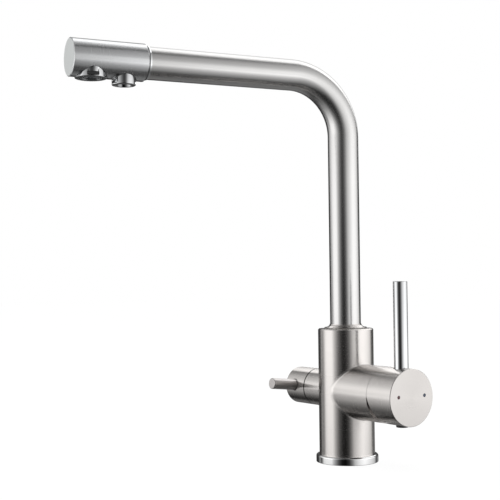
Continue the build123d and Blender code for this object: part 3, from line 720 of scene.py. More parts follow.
@dataclass(frozen=True)
class GrubScrew:
    """A headless screw with a hexagon socket."""

    radius: float
    tip: float
    start: float
    length: float
    thread_depth: float
    key: float
    pitch: float = 0.7
    socket_depth: float = 2.0

    def make(self, name: str) -> Piece:
        """Turn the screw and sink its socket.

        Args:
            name: The screw's name.

        Returns:
            The screw, still on the lathe.
        """
        end = self.start + self.length
        threaded = thread(self.radius, self.start, end, self.pitch, self.thread_depth)
        screw = turned(name, [(self.tip, self.start)] + threaded, sides=48)
        corner = self.key / math.sqrt(3)
        cut(screw, turned("key", [(corner, end - self.socket_depth), (corner, end + 1.0)], sides=6))
        return screw


@dataclass(frozen=True)
class Lever:
    """A round lever on a threaded stud."""

    radius: float
    rounding: float
    rounding_steps: int
    seat: float
    stud_radius: float
    stud_start: float
    pitch: float
    thread_depth: float

    def profile(self, end: float) -> Corners:
        """Give the corners of the lever.

        Args:
            end: Height of its top above the hub's axis.

        Returns:
            The corners from the stud's foot to the top.
        """
        stud = thread(self.stud_radius, self.stud_start, self.seat, self.pitch, self.thread_depth)
        top = arc(self.radius - self.rounding, end - self.rounding, self.rounding, 0, 90, self.rounding_steps)
        return stud + [(self.stud_radius, self.seat), (self.radius, self.seat)] + top


@dataclass(frozen=True)
class Outlet:
    """A housing screwed in under the sleeve, with two notches for its key, and its drilled insert.

    Heights are from the housing's foot.
    """

    radius: float
    height: float
    proud: float
    edge: float
    edge_steps: int
    plain_height: float
    lip: tuple[tuple[float, float], ...]  # radius and height of the corners before the foot's edge
    inside: tuple[tuple[float, float], ...]  # the same for the corners of the bore
    notch_width: float
    notch_height: float
    notch_angle: float
    face_radius: float
    face_start: float
    face_end: float
    hole_pitch: float
    hole_radius: float
    hole_rings: int
    face_rounding: float = 0.15
    notch_start: float = 0.9
    notch_depth: float = 1.2
    notch_rounding: float = 0.45
    floor_slack: float = 0.05
    rim_slack: float = 0.03
    thread_gap: float = 0.2
    thread_pitch: float = 0.8
    thread_depth: float = 0.4

    def housing(self, name: str, foot: float) -> Piece:
        """Turn the housing and cut its two blind notches, opposite each other.

        Args:
            name: The housing's name.
            foot: Height of its foot.

        Returns:
            The housing, still on the lathe.
        """
        profile = [*self.lip, *arc(self.radius - self.edge, self.edge, self.edge, -90, 0, self.edge_steps)]
        profile += [(self.radius, self.plain_height)]
        profile += thread(self.radius, self.plain_height + self.thread_gap, self.height, self.thread_pitch,
                          self.thread_depth)
        profile += self.inside
        piece = turned(name, [(radius, foot + height) for radius, height in profile], bored=True, sides=128)
        middle = foot + self.notch_start + self.notch_height / 2
        for half_turn in (0, 180):
            deselect()
            bpy.ops.mesh.primitive_cube_add(
                size=1, location=(self.radius * MM, 0, middle * MM),
                scale=(2 * self.notch_depth * MM, self.notch_width * MM, self.notch_height * MM))
            cutter = bpy.context.active_object
            write_place()
            soften(cutter, self.notch_rounding)
            shade(cutter)
            settle(cutter, rotate(self.notch_angle + half_turn, "Z"))
            cut(piece, cutter)
        return piece

    def in_notch(self, centre: Vector, foot: float) -> bool:
        """Tell whether a face lies in a notch.

        Args:
            centre: The face's centre.
            foot: Height of the housing's foot.

        Returns:
            Whether it is the notch's floor or side.
        """
        low, depth = foot + self.notch_start, self.radius - math.hypot(centre.x, centre.y) / MM
        return (low * MM < centre.z < (low + self.notch_height) * MM
                and self.rim_slack < depth < self.notch_depth + self.floor_slack)

    def insert(self, name: str, foot: float) -> Piece:
        """Turn the insert and drill its rings of holes and the middle one.

        Args:
            name: The insert's name.
            foot: Height of the housing's foot.

        Returns:
            The drilled disc, still on the lathe.
        """
        start, end = foot + self.face_start, foot + self.face_end
        disc = turned(name, [(self.face_radius, start), (self.face_radius, end)])
        drill = turned("drill", [(self.hole_radius, start - 1), (self.hole_radius, end + 1)], sides=20)
        holes = [(ring * self.hole_pitch, 2 * math.pi * step / (6 * ring))
                 for ring in range(1, self.hole_rings + 1) for step in range(6 * ring)]
        for away, angle in holes + [(0.0, 0.0)]:
            tool = drill.copy()
            tool.data = drill.data.copy()
            bpy.context.scene.collection.objects.link(tool)
            tool.matrix_world = shift(away * math.cos(angle), away * math.sin(angle), 0)
            bpy.context.view_layer.update()
            cut(disc, tool)
        bpy.data.objects.remove(drill)
        soften(disc, self.face_rounding, segments=2)
        return disc


# Sub-assemblies


@dataclass
class Assembly:
    """Pieces that are built together, and the CAD nodes beside them that keep their shape."""

    kept: ClassVar[dict[str, Finish]] = {}

    def build(self, nodes: dict[str, Piece]) -> None:
        """Build and dress the pieces, and put a finish on the nodes that are kept.

        Args:
            nodes: The frame's nodes by name.
        """
        self.make()
        for name, finish in self.kept.items():
            for material_slot in nodes[name].material_slots:
                material_slot.material = finish.material()
            log.info("%s keeps its solid with %s", name, finish.name)

    def make(self) -> None:
        """Build and dress the assembly's own pieces."""
        raise NotImplementedError


@dataclass
class Base(Assembly):
    """The ring that the tap stands on, its seal, and the block with the hose sockets."""

    ring_radius: float = 25.2
    ring_bore: float = 20.35
    ring_height: float = 6.3
    shoulder: float = 1.6
    foot: float = 0.4
    seal_outer: float = 24.25
    seal_inner: float = 21.75
    seal_height: float = 1.6
    seal_play: float = 0.05
    seal_rounding: float = 0.2
    kept = {"inlet_block": BRASS, "inlet_gasket": SEAL_RUBBER, "body_column": BODY_STEEL,
            "mixer_boss": BOSS_STEEL, "filter_boss": HANDLE_STEEL,
            "spout_keeper_screw": SCREW_STEEL, "swivel_bush": BEARING_PLASTIC}

    def make(self) -> None:
        """Build the ring and the seal."""
        self._ring()
        self._seal()

    def _ring(self) -> None:
        """Turn the base ring with its rounded shoulder and the groove for its seal."""
        inner, outer = self.seal_inner - self.seal_play, self.seal_outer + self.seal_play
        shoulder, top = self.shoulder, self.ring_height
        profile = arc(self.ring_radius - self.foot, self.foot, self.foot, -90, 0, 4)
        profile += arc(self.ring_radius - shoulder, top - shoulder, shoulder, 0, 90, 8)
        profile += [(self.ring_bore, top), (self.ring_bore, 0.0), (inner, 0.0),
                    (inner, self.seal_height), (outer, self.seal_height), (outer, 0.0)]
        ring = turned("base_ring_turned", profile, bored=True, sides=128)
        dress(ring, "body", "base_ring", RING_CHROME)

    def _seal(self) -> None:
        """Turn the flat rubber seal."""
        profile = [(self.seal_outer, 0.0), (self.seal_outer, self.seal_height),
                   (self.seal_inner, self.seal_height), (self.seal_inner, 0.0)]
        seal = turned("base_seal_ring", profile, bored=True)
        soften(seal, self.seal_rounding)
        dress(seal, "body", "base_seal", SEAL_RUBBER)


@dataclass
class SpoutTube(Assembly):
    """The tube, drawn up, bent through a quarter turn and run out level, with the collar at its foot."""

    radius: float = 12.5
    wall: float = 1.5
    foot: float = 108.48
    bend: float = 48.0
    bend_steps: int = 48
    reach: float = 177.2
    collar_radius: float = 17.2
    collar_height: float = 3.0
    collar_lip: float = 0.4
    collar_edge: float = 0.4
    collar_play: float = 0.05
    kept = {"spout_adaptor": BRASS, "spout_o_rings": SEAL_RUBBER, "filter_water_tube": HOSE_PLASTIC}

    @property
    def bend_start(self) -> float:
        """Height where the bend begins."""
        return SPOUT_HEIGHT - self.bend

    def make(self) -> None:
        """Build the tube and its collar."""
        self._tube()
        self._collar()

    def _tube(self) -> None:
        """Extrude, spin and extrude a circle, then give it a wall and its map."""
        tube = start_circle("bent_spout_tube", self.radius, self.foot, sides=96)
        extrude(0, 0, self.bend_start - self.foot)
        bpy.ops.mesh.spin(steps=self.bend_steps, angle=math.radians(-90), axis=(1, 0, 0),
                          center=(0, -self.bend * MM, self.bend_start * MM))
        extrude(0, self.bend - self.reach, 0)
        end_shaping()
        apply_modifier(tube, "SOLIDIFY", thickness=self.wall * MM, offset=-1.0, use_even_offset=True)
        self._map(tube)
        settle(tube, rotate(SPOUT_REST_ANGLE, "Z"))
        dress(tube, "spout", "spout_tube", SPOUT_STEEL)

    def _map(self, tube: Piece) -> None:
        """Map the tube with its length as U and the way round it as V in metres, and store which way it runs.

        Args:
            tube: The tube before it is turned to its rest angle.
        """
        mesh = tube.data
        mesh.attributes.new("length_way", "FLOAT_VECTOR", "POINT")
        mesh.uv_layers.new(name="length_and_round")
        uvs, ways = mesh.uv_layers["length_and_round"].data, mesh.attributes["length_way"].data
        turn = rotate(SPOUT_REST_ANGLE, "Z").to_3x3()
        for loop in mesh.loops:
            x, y, z = mesh.vertices[loop.vertex_index].co
            length, out, way = self._station(y, z)
            uvs[loop.index].uv = (length, math.atan2(abs(x), out) * self.radius * MM)
            ways[loop.vertex_index].vector = turn @ way

    def _station(self, y: float, z: float) -> tuple[float, float, Vector]:
        """Find where a point lies along the unturned tube, in metres.

        Args:
            y: The point's Y.
            z: The point's Z.

        Returns:
            The length up to it, how far it lies outside the middle line, and which way the tube runs there.
        """
        corner, bend = self.bend_start * MM, self.bend * MM
        if z <= corner:
            return z, y, Vector((0, 0, 1))
        if y <= -bend:
            return corner + bend * math.pi / 2 - bend - y, z - SPOUT_HEIGHT * MM, Vector((0, -1, 0))
        angle = math.atan2(z - corner, y + bend)
        outwards = math.hypot(y + bend, z - corner) - bend
        return corner + bend * angle, outwards, Vector((0, -math.sin(angle), math.cos(angle)))

    def _collar(self) -> None:
        """Turn the low collar that flares out in a hollow quarter ellipse where the tube meets the body."""
        bore = self.radius + self.collar_play
        top = self.foot + self.collar_height
        width = self.collar_radius - bore - self.collar_edge
        drop = self.collar_height - self.collar_lip
        hollow = [(self.collar_radius + width * x, top + drop * y) for x, y in arc(0, 0, 1.0, 270, 180, 12)]
        profile = [(self.collar_radius, self.foot)] + hollow + [(bore, top), (bore, self.foot)]
        collar = turned("spout_foot_collar", profile, bored=True, sides=128)
        dress(collar, "spout", "spout_collar", BODY_STEEL)


@dataclass
class SpoutHead(Assembly):
    """The sleeve at the spout's end with its two outlets."""

    radius: float = 14.3
    bore: float = 12.55
    reach: float = 230.1
    length: float = 58.4
    ring_radius: float = 13.2
    ring_width: float = 1.5
    ring_gap: float = 0.15
    ring_slope: float = 0.42
    ring_edge_height: float = 0.15
    ring_edge_width: float = 0.1
    cap_thickness: float = 1.4
    cap_edge: float = 0.5
    cap_play: float = 0.05
    spigot_wall: float = 1.8
    spigot_depth: float = 2.0
    aerator_from_end: float = 16.35
    outlet_spacing: float = 25.5
    aerator: Outlet = Outlet(
        radius=11.85, height=9.0, proud=0.4, edge=0.3, edge_steps=3, plain_height=7.0, lip=(),
        inside=((9.75, 9.0), (9.75, 0.8), (8.95, 0.8), (8.95, 0.0)), notch_width=9.2, notch_height=2.5,
        notch_angle=-7.0, face_radius=9.7, face_start=1.6, face_end=9.0, hole_pitch=4.0, hole_radius=1.05,
        hole_rings=2)
    nozzle: Outlet = Outlet(
        radius=9.05, height=9.6, proud=4.0, edge=0.8, edge_steps=6, plain_height=7.4, lip=((5.6, 0.0),),
        inside=((3.0, 9.6), (3.0, 6.0), (5.6, 6.0)), notch_width=4.4, notch_height=1.9, notch_angle=-78.5,
        face_radius=5.55, face_start=1.9, face_end=6.0, hole_pitch=3.0, hole_radius=0.9, hole_rings=1)
    kept = {"spout_head": HEAD_STEEL, "outlet_block": HARD_NYLON, "aerator_gasket": SEAL_RUBBER,
            "nozzle_gasket": SEAL_RUBBER}

    def make(self) -> None:
        """Build the ring, the cap and the two outlets."""
        self._ring()
        self._end_cap()
        self._outlet(self.aerator, self.aerator_from_end, (
            "aerator_housing_turned", "aerator_housing", "aerator_spray_face", "aerator_insert"))
        self._outlet(self.nozzle, self.aerator_from_end + self.outlet_spacing, (
            "drinking_water_nozzle", "filter_nozzle", "nozzle_spray_face", "nozzle_insert"))

    def _ring(self) -> None:
        """Turn the thin ring that covers the joint between sleeve and tube."""
        end = self.reach - self.length - self.ring_gap
        start = end - self.ring_width
        radius = self.ring_radius
        profile = [(radius - self.ring_slope, start), (radius, end - self.ring_edge_height),
                   (radius - self.ring_edge_width, end), (self.bore, end), (self.bore, start)]
        ring = turned("head_joint_ring", profile, bored=True)
        dress(ring, "spout", "head_ring", CHROME, seat(Facing.SPOUT))

    def _end_cap(self) -> None:
        """Turn the flat cap with its crisp bright rim."""
        start = self.reach - self.cap_thickness
        spigot = self.bore - self.cap_play
        foot = start - self.spigot_depth
        profile = [(spigot - self.spigot_wall, foot), (spigot, foot), (spigot, start), (self.radius, start),
                   (self.radius, self.reach - self.cap_edge), (self.radius - self.cap_edge, self.reach)]
        cap = turned("spout_end_cap", profile, sides=128)
        dress(cap, "spout", "head_end_cap", HEAD_STEEL, seat(Facing.SPOUT))
        outwards = Vector(SPOUT_AXIS)
        face_in(cap, CAP_STEEL, lambda centre, normal: normal.dot(outwards) > LOOKS_ALONG)

    def _outlet(self, outlet: Outlet, from_end: float, names: Sequence[str]) -> None:
        """Build an outlet, plated, with painted shade in its key notches.

        Args:
            outlet: The outlet's sizes.
            from_end: Its distance from the spout's end in millimetres.
            names: The housing's name and CAD node, and the insert's name and CAD node.
        """
        foot = SPOUT_HEIGHT - self.radius - outlet.proud
        place = rotate(SPOUT_REST_ANGLE, "Z") @ shift(0, from_end - self.reach, 0)
        housing = outlet.housing(names[0], foot)
        dress(housing, "spout", names[1], CHROME)
        # the notches' faces take painted shade
        face_in(housing, NOTCH_PAINTED_SHADE, lambda centre, normal: outlet.in_notch(centre, foot))
        settle(housing, place)
        insert = outlet.insert(names[2], foot)
        dress(insert, "spout", names[3], SPRAY_PLASTIC, place)


@dataclass
class MixerCartridge(Assembly):
    """What sits between body and handle; only the polished dome shows through the gap."""

    pivot: float = 42.0
    dome_radius: float = 19.3
    dome_wall: float = 1.2
    skirt_radius: float = 17.45
    opening_radius: float = 10.0
    start: float = 48.0
    kept = {"cartridge_port_seals": SEAL_RUBBER, "cartridge_base": HARD_NYLON,
            "cartridge_fixed_disc": CERAMIC, "cartridge_housing": HARD_NYLON, "cartridge_nut": BRASS,
            "cartridge_rotor": HARD_NYLON, "lever_pivot_pin": SCREW_STEEL, "cartridge_moving_disc": CERAMIC,
            "disc_carrier": BEARING_PLASTIC}

    def make(self) -> None:
        """Turn the dome as two balls about the lever's pivot, joined at the skirt and at the opening."""
        inner, bore = self.dome_radius - self.dome_wall, self.skirt_radius - self.dome_wall
        skirt, crown, inner_crown, inner_skirt = (math.degrees(math.acos(across / ball)) for across, ball in (
            (self.skirt_radius, self.dome_radius), (self.opening_radius, self.dome_radius),
            (self.opening_radius, inner), (bore, inner)))
        profile = [(self.skirt_radius, self.start)] + arc(0, self.pivot, self.dome_radius, skirt, crown, 14)
        profile += arc(0, self.pivot, inner, inner_crown, inner_skirt, 12) + [(bore, self.start)]
        dome = turned("cartridge_dome_spun", profile, bored=True, sides=128)
        dress(dome, "body", "cartridge_dome", CHROME, seat(Facing.MIXER))


@dataclass
class MixerHandle(Assembly):
    """The handle on the right: a heavy hub, its upright lever and the two coloured dots."""

    lever_position: float = 66.3
    lever_top: float = 146.0
    lever: Lever = Lever(radius=5.5, rounding=0.9, rounding_steps=6, seat=19.5, stud_radius=3.0,
                         stud_start=6.0, pitch=1.0, thread_depth=0.35)
    front: float = 77.4
    marker_radius: float = 1.35
    marker_offset: float = 13.1
    marker_rise: float = 1.2
    marker_depth: float = 0.4
    marker_crown: float = 0.12
    hub_radius: float = 22.0
    plug_radius: float = 4.6
    plug_rounding: float = 0.4
    plug_proud: float = 1.2
    plug_depth: float = 1.5
    plug_stem: float = 1.95
    plug_stem_length: float = 3.0
    grub_screw: GrubScrew = GrubScrew(radius=2.0, tip=1.4, start=3.5, length=7.0, thread_depth=0.25, key=2.0)
    kept = {"mixer_hub": HUB_STEEL, "lever_stem": SCREW_STEEL}

    @property
    def upwards(self) -> Matrix:
        """The move from the lathe to the lever's line."""
        return shift(self.lever_position, 0, HANDLE_HEIGHT)

    @property
    def downwards(self) -> Matrix:
        """The move from the lathe to the hub's lowest side."""
        return self.upwards @ rotate(180, "X")

    def make(self) -> None:
        """Build the lever, the dots, the screw and its plug."""
        lever = turned("mixer_lever_turned", self.lever.profile(self.lever_top - HANDLE_HEIGHT))
        dress(lever, "mixer_handle", "mixer_lever", CHROME, self.upwards)
        self._marker("hot_marker", -self.marker_offset, RED_ENAMEL, "red_marker")
        self._marker("cold_marker", self.marker_offset, BLUE_ENAMEL, "blue_marker")
        screw = self.grub_screw.make("mixer_grub_screw_turned")
        dress(screw, "mixer_handle", "mixer_grub_screw", SCREW_STEEL, self.downwards)
        self._plug()

    def _marker(self, node: str, offset: float, finish: Finish, slot: str) -> None:
        """Turn an enamel dot, a little crowned.

        Args:
            node: The CAD node that it replaces.
            offset: Its distance from the middle of the hub's front, in millimetres.
            finish: Its enamel.
            slot: A material slot's name, which is not used.
        """
        angles = [math.radians(a) for a in (0, 20, 40, 60, 80)]
        crown = [(self.marker_radius * math.cos(a), self.front - self.marker_crown * (1 - math.sin(a)))
                 for a in angles]
        foot = (self.marker_radius, self.front - self.marker_depth)
        dot = turned(f"{node}_enamel", [foot] + crown, sides=32)
        place = seat(Facing.MIXER) @ shift(-self.marker_rise, offset, 0)
        dress(dot, "mixer_handle", node, finish, place)

    def _plug(self) -> None:
        """Turn the small plug that covers the screw."""
        start, end = self.hub_radius - self.plug_depth, self.hub_radius + self.plug_proud
        rounding = self.plug_rounding
        profile = [(self.plug_stem, start - self.plug_stem_length), (self.plug_stem, start),
                   (self.plug_radius, start)]
        profile += arc(self.plug_radius - rounding, end - rounding, rounding, 0, 90, 5)
        plug = turned("grub_screw_plug", profile, sides=64)
        dress(plug, "mixer_handle", "mixer_grub_plug", PLUG_PLASTIC, self.downwards)


@dataclass
class FilterHandle(Assembly):
    """The handle on the left: a small hub with its short lever."""

    rest_lift: float = 6.0
    lever_position: float = 51.0
    lever_reach: float = 38.6
    lever: Lever = Lever(radius=4.5, rounding=0.5, rounding_steps=4, seat=11.0, stud_radius=2.5,
                         stud_start=5.2, pitch=0.8, thread_depth=0.3)
    grub_angle: float = 125.0
    grub_screw: GrubScrew = GrubScrew(radius=1.75, tip=1.2, start=4.05, length=10.1, thread_depth=0.22,
                                      key=1.9)
    kept = {"filter_hub": HANDLE_STEEL, "filter_spindle": BRASS, "spindle_clip": SCREW_STEEL,
            "filter_moving_disc": CERAMIC, "filter_valve_body": BRASS, "filter_valve_seal": SEAL_RUBBER,
            "filter_fixed_disc": CERAMIC}

    def make(self) -> None:
        """Build the lever and the screw that clamps the hub on its spindle."""
        self._lever()
        screw = self.grub_screw.make("filter_grub_screw_turned")
        dress(screw, "filter_handle", "filter_grub_screw", SCREW_STEEL,
              self._sideways(-self.grub_angle))

    def _sideways(self, angle: float) -> Matrix:
        """Return the move from the lathe across the hub, so many degrees from the lever."""
        hub = seat(Facing.FILTER) @ rotate(self.rest_lift + angle, "Z")
        return hub @ shift(0, 0, self.lever_position) @ rotate(90, "X")

    def _lever(self) -> None:
        """Turn the lever with its broken edge and its flat, lapped end."""
        lever = turned("filter_lever_turned", self.lever.profile(self.lever_reach), sides=80)
        place = self._sideways(0)
        axis = place.to_3x3() @ Vector((0, 0, 1))
        steel = BrushedSteel("brushed_steel_filter_lever", "#bfbbb9", axis=tuple(axis),
                             centre_mm=(-self.lever_position, 0.0, HANDLE_HEIGHT), roughness=0.3)
        dress(lever, "filter_handle", "filter_lever", steel, place)
        face_in(lever, FACE_STEEL, lambda centre, normal: normal.dot(axis) > LOOKS_ALONG)


# Photographer's table


@dataclass(frozen=True)
class Reflector:
    """A round sheet of light out of the picture, placed by the angles from which the metal sees it."""

    azimuth: float
    elevation: float
    radius: float
    blur: float
    light: float


@dataclass
class Studio:
    """Camera, lamps, pale floor and the bright and dark cards that metal needs round it."""

    azimuth: float = 55.75
    elevation: float = -1.7
    roll: float = -0.64
    distance: float = 867.88
    aim_across: float = -77.41
    aim_height: float = 171.77
    focal_pixels: float = 1059.44
    frame_pixels: float = 500.0
    sensor_mm: float = 36.0
    nearest_seen: float = 0.01
    lamp_size: tuple[float, float] = (1.6, 1.2)
    lamp_power: float = 9.0
    lamp_place: Triple = (0.2, -0.4, 1.6)
    lamp_tilt: Triple = (14.0, 7.0, 0.0)
    world_light: float = 0.55
    floor_size: float = 12.0
    floor_grey: float = 0.9
    floor_glow: float = 1.07
    floor_glow_share: float = 0.88  # the rest is lit paper, which takes the shadow
    drum_radius: float = 1.2
    drum_height: float = 0.2
    panel_light: float = 2.15
    reflectors: tuple[Reflector, ...] = (
        Reflector(162.5, 47.7, 36.7, 3.0, 1.65),
        Reflector(163.3, -40.8, 32.7, 4.0, 0.2),
        Reflector(-138.0, 31.0, 15.0, 11.0, 0.32),
        Reflector(-122.0, 18.0, 12.0, 10.0, 0.12),
        Reflector(-113.0, -11.0, 8.0, 7.0, -0.65),
        Reflector(50.0, -36.0, 18.0, 14.0, 0.24))
    panels: Stops = (
        (-180, 0.05), (-150, 0.02), (-136, 0.05), (-124, 0.3), (-108, 0.58), (-86, 0.75), (-66, 0.75),
        (-56, 0.57), (-45, 0.46), (-24, 0.45), (2, 0.36), (13, 0.34), (25, 0.42), (37, 0.55), (49, 0.66),
        (62, 0.78), (77, 0.78), (92, 0.68), (112, 0.48), (127, 0.06), (150, 0.02), (180, 0.05))
    heights: Stops = (
        (-90, 0.05), (-60, 0.07), (-46, 0.13), (-34, 0.27), (-24, 0.46), (-15, 0.8), (-9, 1.13), (-4, 0.97),
        (4, 0.96), (9, 0.96), (16, 0.81), (26, 0.59), (36, 0.47), (46, 0.4), (56, 0.28), (64, 0.1), (72, 0.2),
        (90, 0.3))
    slit_radius: float = 0.42
    slit_height: float = 1.8
    slit_thins_from: float = -0.25  # heights from the drum's middle between which the cloth grows thinner
    slit_thins_to: float = 0.09
    slit_thickest: float = 1.45
    slit_thinnest: float = 0.65
    slit: Stops = (
        (-180, 1.0), (-62, 1.0), (-45, 0.55), (-35, 0.22), (-24, 0.06), (-11, 0.03), (2, 0.16), (13, 0.6),
        (22, 1.0), (180, 1.0))

    def build(self) -> None:
        """Set the camera, the lamps, the world, the floor and the drum of cards."""
        bpy.context.scene.view_settings.view_transform = "Standard"
        self._camera()
        self._lamps()
        self._world()
        self._floor()
        self._drum()
        self._slit()

    def _camera(self) -> None:
        """Place the camera where the photograph was taken."""
        azimuth, elevation, roll = (math.radians(a) for a in (self.azimuth, self.elevation, self.roll))
        back = Vector((math.sin(azimuth) * math.cos(elevation), -math.cos(azimuth) * math.cos(elevation),
                       math.sin(elevation)))
        level = (-back).cross(Vector((0, 0, 1))).normalized()
        upright = level.cross(-back)
        right = level * math.cos(roll) + upright * math.sin(roll)
        up = upright * math.cos(roll) - level * math.sin(roll)
        aim = Vector((0, 0, self.aim_height)) + right * self.aim_across
        data = bpy.data.cameras.new("photograph_view")
        data.sensor_width = self.sensor_mm
        data.lens = self.focal_pixels / self.frame_pixels * self.sensor_mm
        data.clip_start = self.nearest_seen
        camera = bpy.data.objects.new("photograph_view", data)
        matrix = Matrix((right, up, back)).transposed().to_4x4()
        matrix.translation = (aim + back * self.distance) * MM
        camera.matrix_world = matrix
        bpy.context.scene.collection.objects.link(camera)
        bpy.context.scene.camera = camera

    def _lamps(self) -> None:
        """Hang one broad soft lamp over the table, for the pieces that are not metal and for the shadow."""
        data = bpy.data.lights.new("overhead_softbox", "AREA")
        data.shape = "RECTANGLE"
        data.size, data.size_y = self.lamp_size
        data.energy = self.lamp_power
        lamp = bpy.data.objects.new("overhead_softbox", data)
        lamp.location = self.lamp_place
        lamp.rotation_euler = [math.radians(a) for a in self.lamp_tilt]
        lamp.visible_glossy = False
        bpy.context.scene.collection.objects.link(lamp)

    def _world(self) -> None:
        """Make the surroundings white to camera, glossy and transmission rays, and gentler as a light."""
        world = bpy.data.worlds.new("white_surroundings")
        bpy.context.scene.world = world
        tree = self._bare_tree(world)
        seen = add_node(tree, "LightPath", output="Is Camera Ray")
        for ray in ("Is Glossy Ray", "Is Transmission Ray"):
            seen = add_node(tree, "Math", {0: seen, 1: add_node(tree, "LightPath", output=ray)},
                            operation="MAXIMUM")
        strength = add_node(tree, "MapRange", {"Value": seen, "To Min": self.world_light, "To Max": 1.0})
        background = add_node(tree, "Background", {"Color": (1.0, 1.0, 1.0, 1.0), "Strength": strength})
        add_node(tree, "OutputWorld", {"Surface": background})

    @staticmethod
    def _bare_tree(owner: bpy.types.ID) -> Tree:
        """Empty the node tree of a material or world.

        Args:
            owner: The new material or world.

        Returns:
            Its tree.
        """
        owner.use_nodes = True
        owner.node_tree.nodes.clear()
        return owner.node_tree

    def _stand(self, name: str, material_name: str, draw: Callable[[Tree], Socket]) -> Piece:
        """Name the new sheet and give it the material that is drawn for it.

        Args:
            name: The sheet's name.
            material_name: Its material's name.
            draw: Draws the material in a tree and gives its surface.

        Returns:
            The sheet.
        """
        sheet = bpy.context.active_object
        sheet.name = name
        material = bpy.data.materials.new(material_name)
        tree = self._bare_tree(material)
        add_node(tree, "OutputMaterial", {"Surface": draw(tree)})
        sheet.data.materials.append(material)
        return sheet

    def _floor(self) -> None:
        """Lay the floor: white to the eye but for a soft shadow."""
        deselect()
        bpy.ops.mesh.primitive_plane_add(size=self.floor_size, location=(0, 0, 0))
        self._stand("floor", "white_paper_floor", self._paper).visible_glossy = False

    def _paper(self, tree: Tree) -> Socket:
        """Draw the floor's paper.

        Args:
            tree: The floor's node tree.

        Returns:
            The surface, which mostly glows to the camera.
        """
        paper = add_node(tree, "BsdfDiffuse", {"Color": (*(self.floor_grey,) * 3, 1.0)})
        glow = add_node(tree, "Emission", {"Color": (1.0, 1.0, 1.0, 1.0), "Strength": self.floor_glow})
        seen = add_node(tree, "LightPath", output="Is Camera Ray")
        share = add_node(tree, "Math", {0: seen, 1: self.floor_glow_share}, operation="MULTIPLY")
        return add_node(tree, "MixShader", {0: share, 1: paper, 2: glow})

    def _drum(self) -> None:
        """Stand a great drum of cards round the table, seen only in the metal."""
        deselect()
        bpy.ops.mesh.primitive_uv_sphere_add(segments=64, ring_count=32, radius=self.drum_radius)
        drum = self._stand("card_drum", "studio_cards", self._cards)
        drum.location = (0, 0, self.drum_height)
        self._show_in_metal_only(drum)

    def _slit(self) -> None:
        """Stand a clear sleeve near the tap, dark only in the slit through which the camera looks."""
        deselect()
        bpy.ops.mesh.primitive_cylinder_add(vertices=96, radius=self.slit_radius, depth=self.slit_height,
                                            end_fill_type="NOTHING", location=(0, 0, self.drum_height))
        self._show_in_metal_only(self._stand("lens_slit", "black_cloth_beside_the_lens", self._cloth))

    @staticmethod
    def _show_in_metal_only(sheet: Piece) -> None:
        """Hide a card from everything but glossy reflections."""
        for flag in ("camera", "diffuse", "transmission", "volume_scatter", "shadow"):
            setattr(sheet, f"visible_{flag}", False)

    def _cloth(self, tree: Tree) -> Socket:
        """Draw the black cloth, which thins out beside the lens and upwards.

        Args:
            tree: The sleeve's node tree.

        Returns:
            The surface.
        """
        place = add_node(tree, "TexCoord", output="Object")
        edge = self._greys(tree, self._bearing(tree, self._faced(tree, place)), 180, self.slit)
        level = add_node(tree, "SeparateXYZ", {0: place}, "Z")
        thin = add_node(tree, "MapRange", {
            "Value": level, "From Min": self.slit_thins_from, "From Max": self.slit_thins_to,
            "To Min": self.slit_thickest, "To Max": self.slit_thinnest})
        clear = add_node(tree, "Math", {0: edge, 1: thin}, operation="POWER")
        cloth = add_node(tree, "Emission", {"Strength": 0.0})
        nothing = add_node(tree, "BsdfTransparent")
        return add_node(tree, "MixShader", {0: clear, 1: cloth, 2: nothing})

    def _faced(self, tree: Tree, place: Socket) -> Socket:
        """Return a place turned about the vertical, so that X points at the camera's side."""
        turn = (0, 0, math.radians(90 - self.azimuth))
        return add_node(tree, "Mapping", {"Vector": place, "Rotation": turn}, vector_type="POINT")

    @staticmethod
    def _bearing(tree: Tree, faced: Socket) -> Socket:
        """Return the angle about the vertical from the camera's side, in radians."""
        across, towards = (add_node(tree, "SeparateXYZ", {0: faced}, part) for part in ("Y", "X"))
        return add_node(tree, "Math", {0: across, 1: towards}, operation="ARCTAN2")

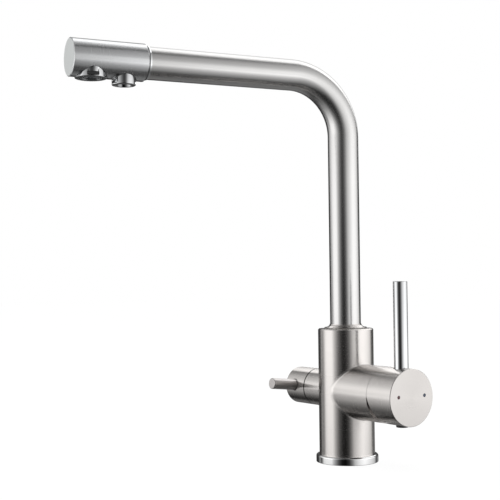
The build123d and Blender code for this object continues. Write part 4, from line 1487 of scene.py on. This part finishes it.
    def _cards(self, tree: Tree) -> Socket:
        """Draw the cards' greys: panels at eye level, and the round reflectors.

        Args:
            tree: The drum's node tree.

        Returns:
            The glow, as strong as the light that each direction sends.
        """
        place = add_node(tree, "TexCoord", output="Object")
        unit = add_node(tree, "VectorMath", {0: place}, operation="NORMALIZE")
        faced = self._faced(tree, unit)
        level = add_node(tree, "SeparateXYZ", {0: faced}, "Z")
        rise = add_node(tree, "Math", {0: level}, operation="ARCSINE")
        light = self._greys(tree, self._bearing(tree, faced), 180, self.panels)
        for factor in (self._greys(tree, rise, 90, self.heights), self.panel_light):
            light = add_node(tree, "Math", {0: light, 1: factor}, operation="MULTIPLY")
        for card in self.reflectors:
            azimuth, elevation = math.radians(card.azimuth), math.radians(card.elevation)
            way = (math.cos(elevation) * math.cos(azimuth), math.cos(elevation) * math.sin(azimuth),
                   math.sin(elevation))
            nearness = add_node(tree, "VectorMath", {0: faced, 1: way}, "Value", operation="DOT_PRODUCT")
            outer, inner = (math.cos(math.radians(card.radius + blur)) for blur in (card.blur, -card.blur))
            sheet = add_node(tree, "MapRange", {
                "Value": nearness, "From Min": outer, "From Max": inner, "To Max": card.light},
                             interpolation_type="SMOOTHSTEP")
            light = add_node(tree, "Math", {0: light, 1: sheet}, operation="ADD")
        return add_node(tree, "Emission", {"Strength": light})

    @staticmethod
    def _greys(tree: Tree, angle: Socket, reach: float, stops: Stops) -> Socket:
        """Draw greys along an angle.

        Args:
            tree: The drum's node tree.
            angle: The angle in radians.
            reach: Largest angle in degrees, on both sides of zero.
            stops: Angle in degrees and grey of each stop.

        Returns:
            The grey.
        """
        share = add_node(tree, "MapRange", {
            "Value": angle, "From Min": -math.radians(reach), "From Max": math.radians(reach)})
        grey = add_node(tree, "ValToRGB", {0: share})
        ramp = grey.node.color_ramp
        while len(ramp.elements) < len(stops):
            ramp.elements.new(0.5)
        for element, (degrees, shade_of_grey) in zip(ramp.elements, stops):
            element.position = (degrees + reach) / (2 * reach)
            element.color = (shade_of_grey,) * 3 + (1.0,)
        return grey


def main() -> None:
    """Load the frame, build the sub-assemblies in order and dress them."""
    logging.basicConfig(level=logging.INFO, format="%(message)s")
    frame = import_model()
    nodes = frame["nodes"]
    Studio().build()
    for assembly in (Base(), SpoutTube(), SpoutHead(), MixerCartridge(), MixerHandle(), FilterHandle()):
        assembly.build(nodes)
    deselect()


if __name__ == "__main__":
    main()
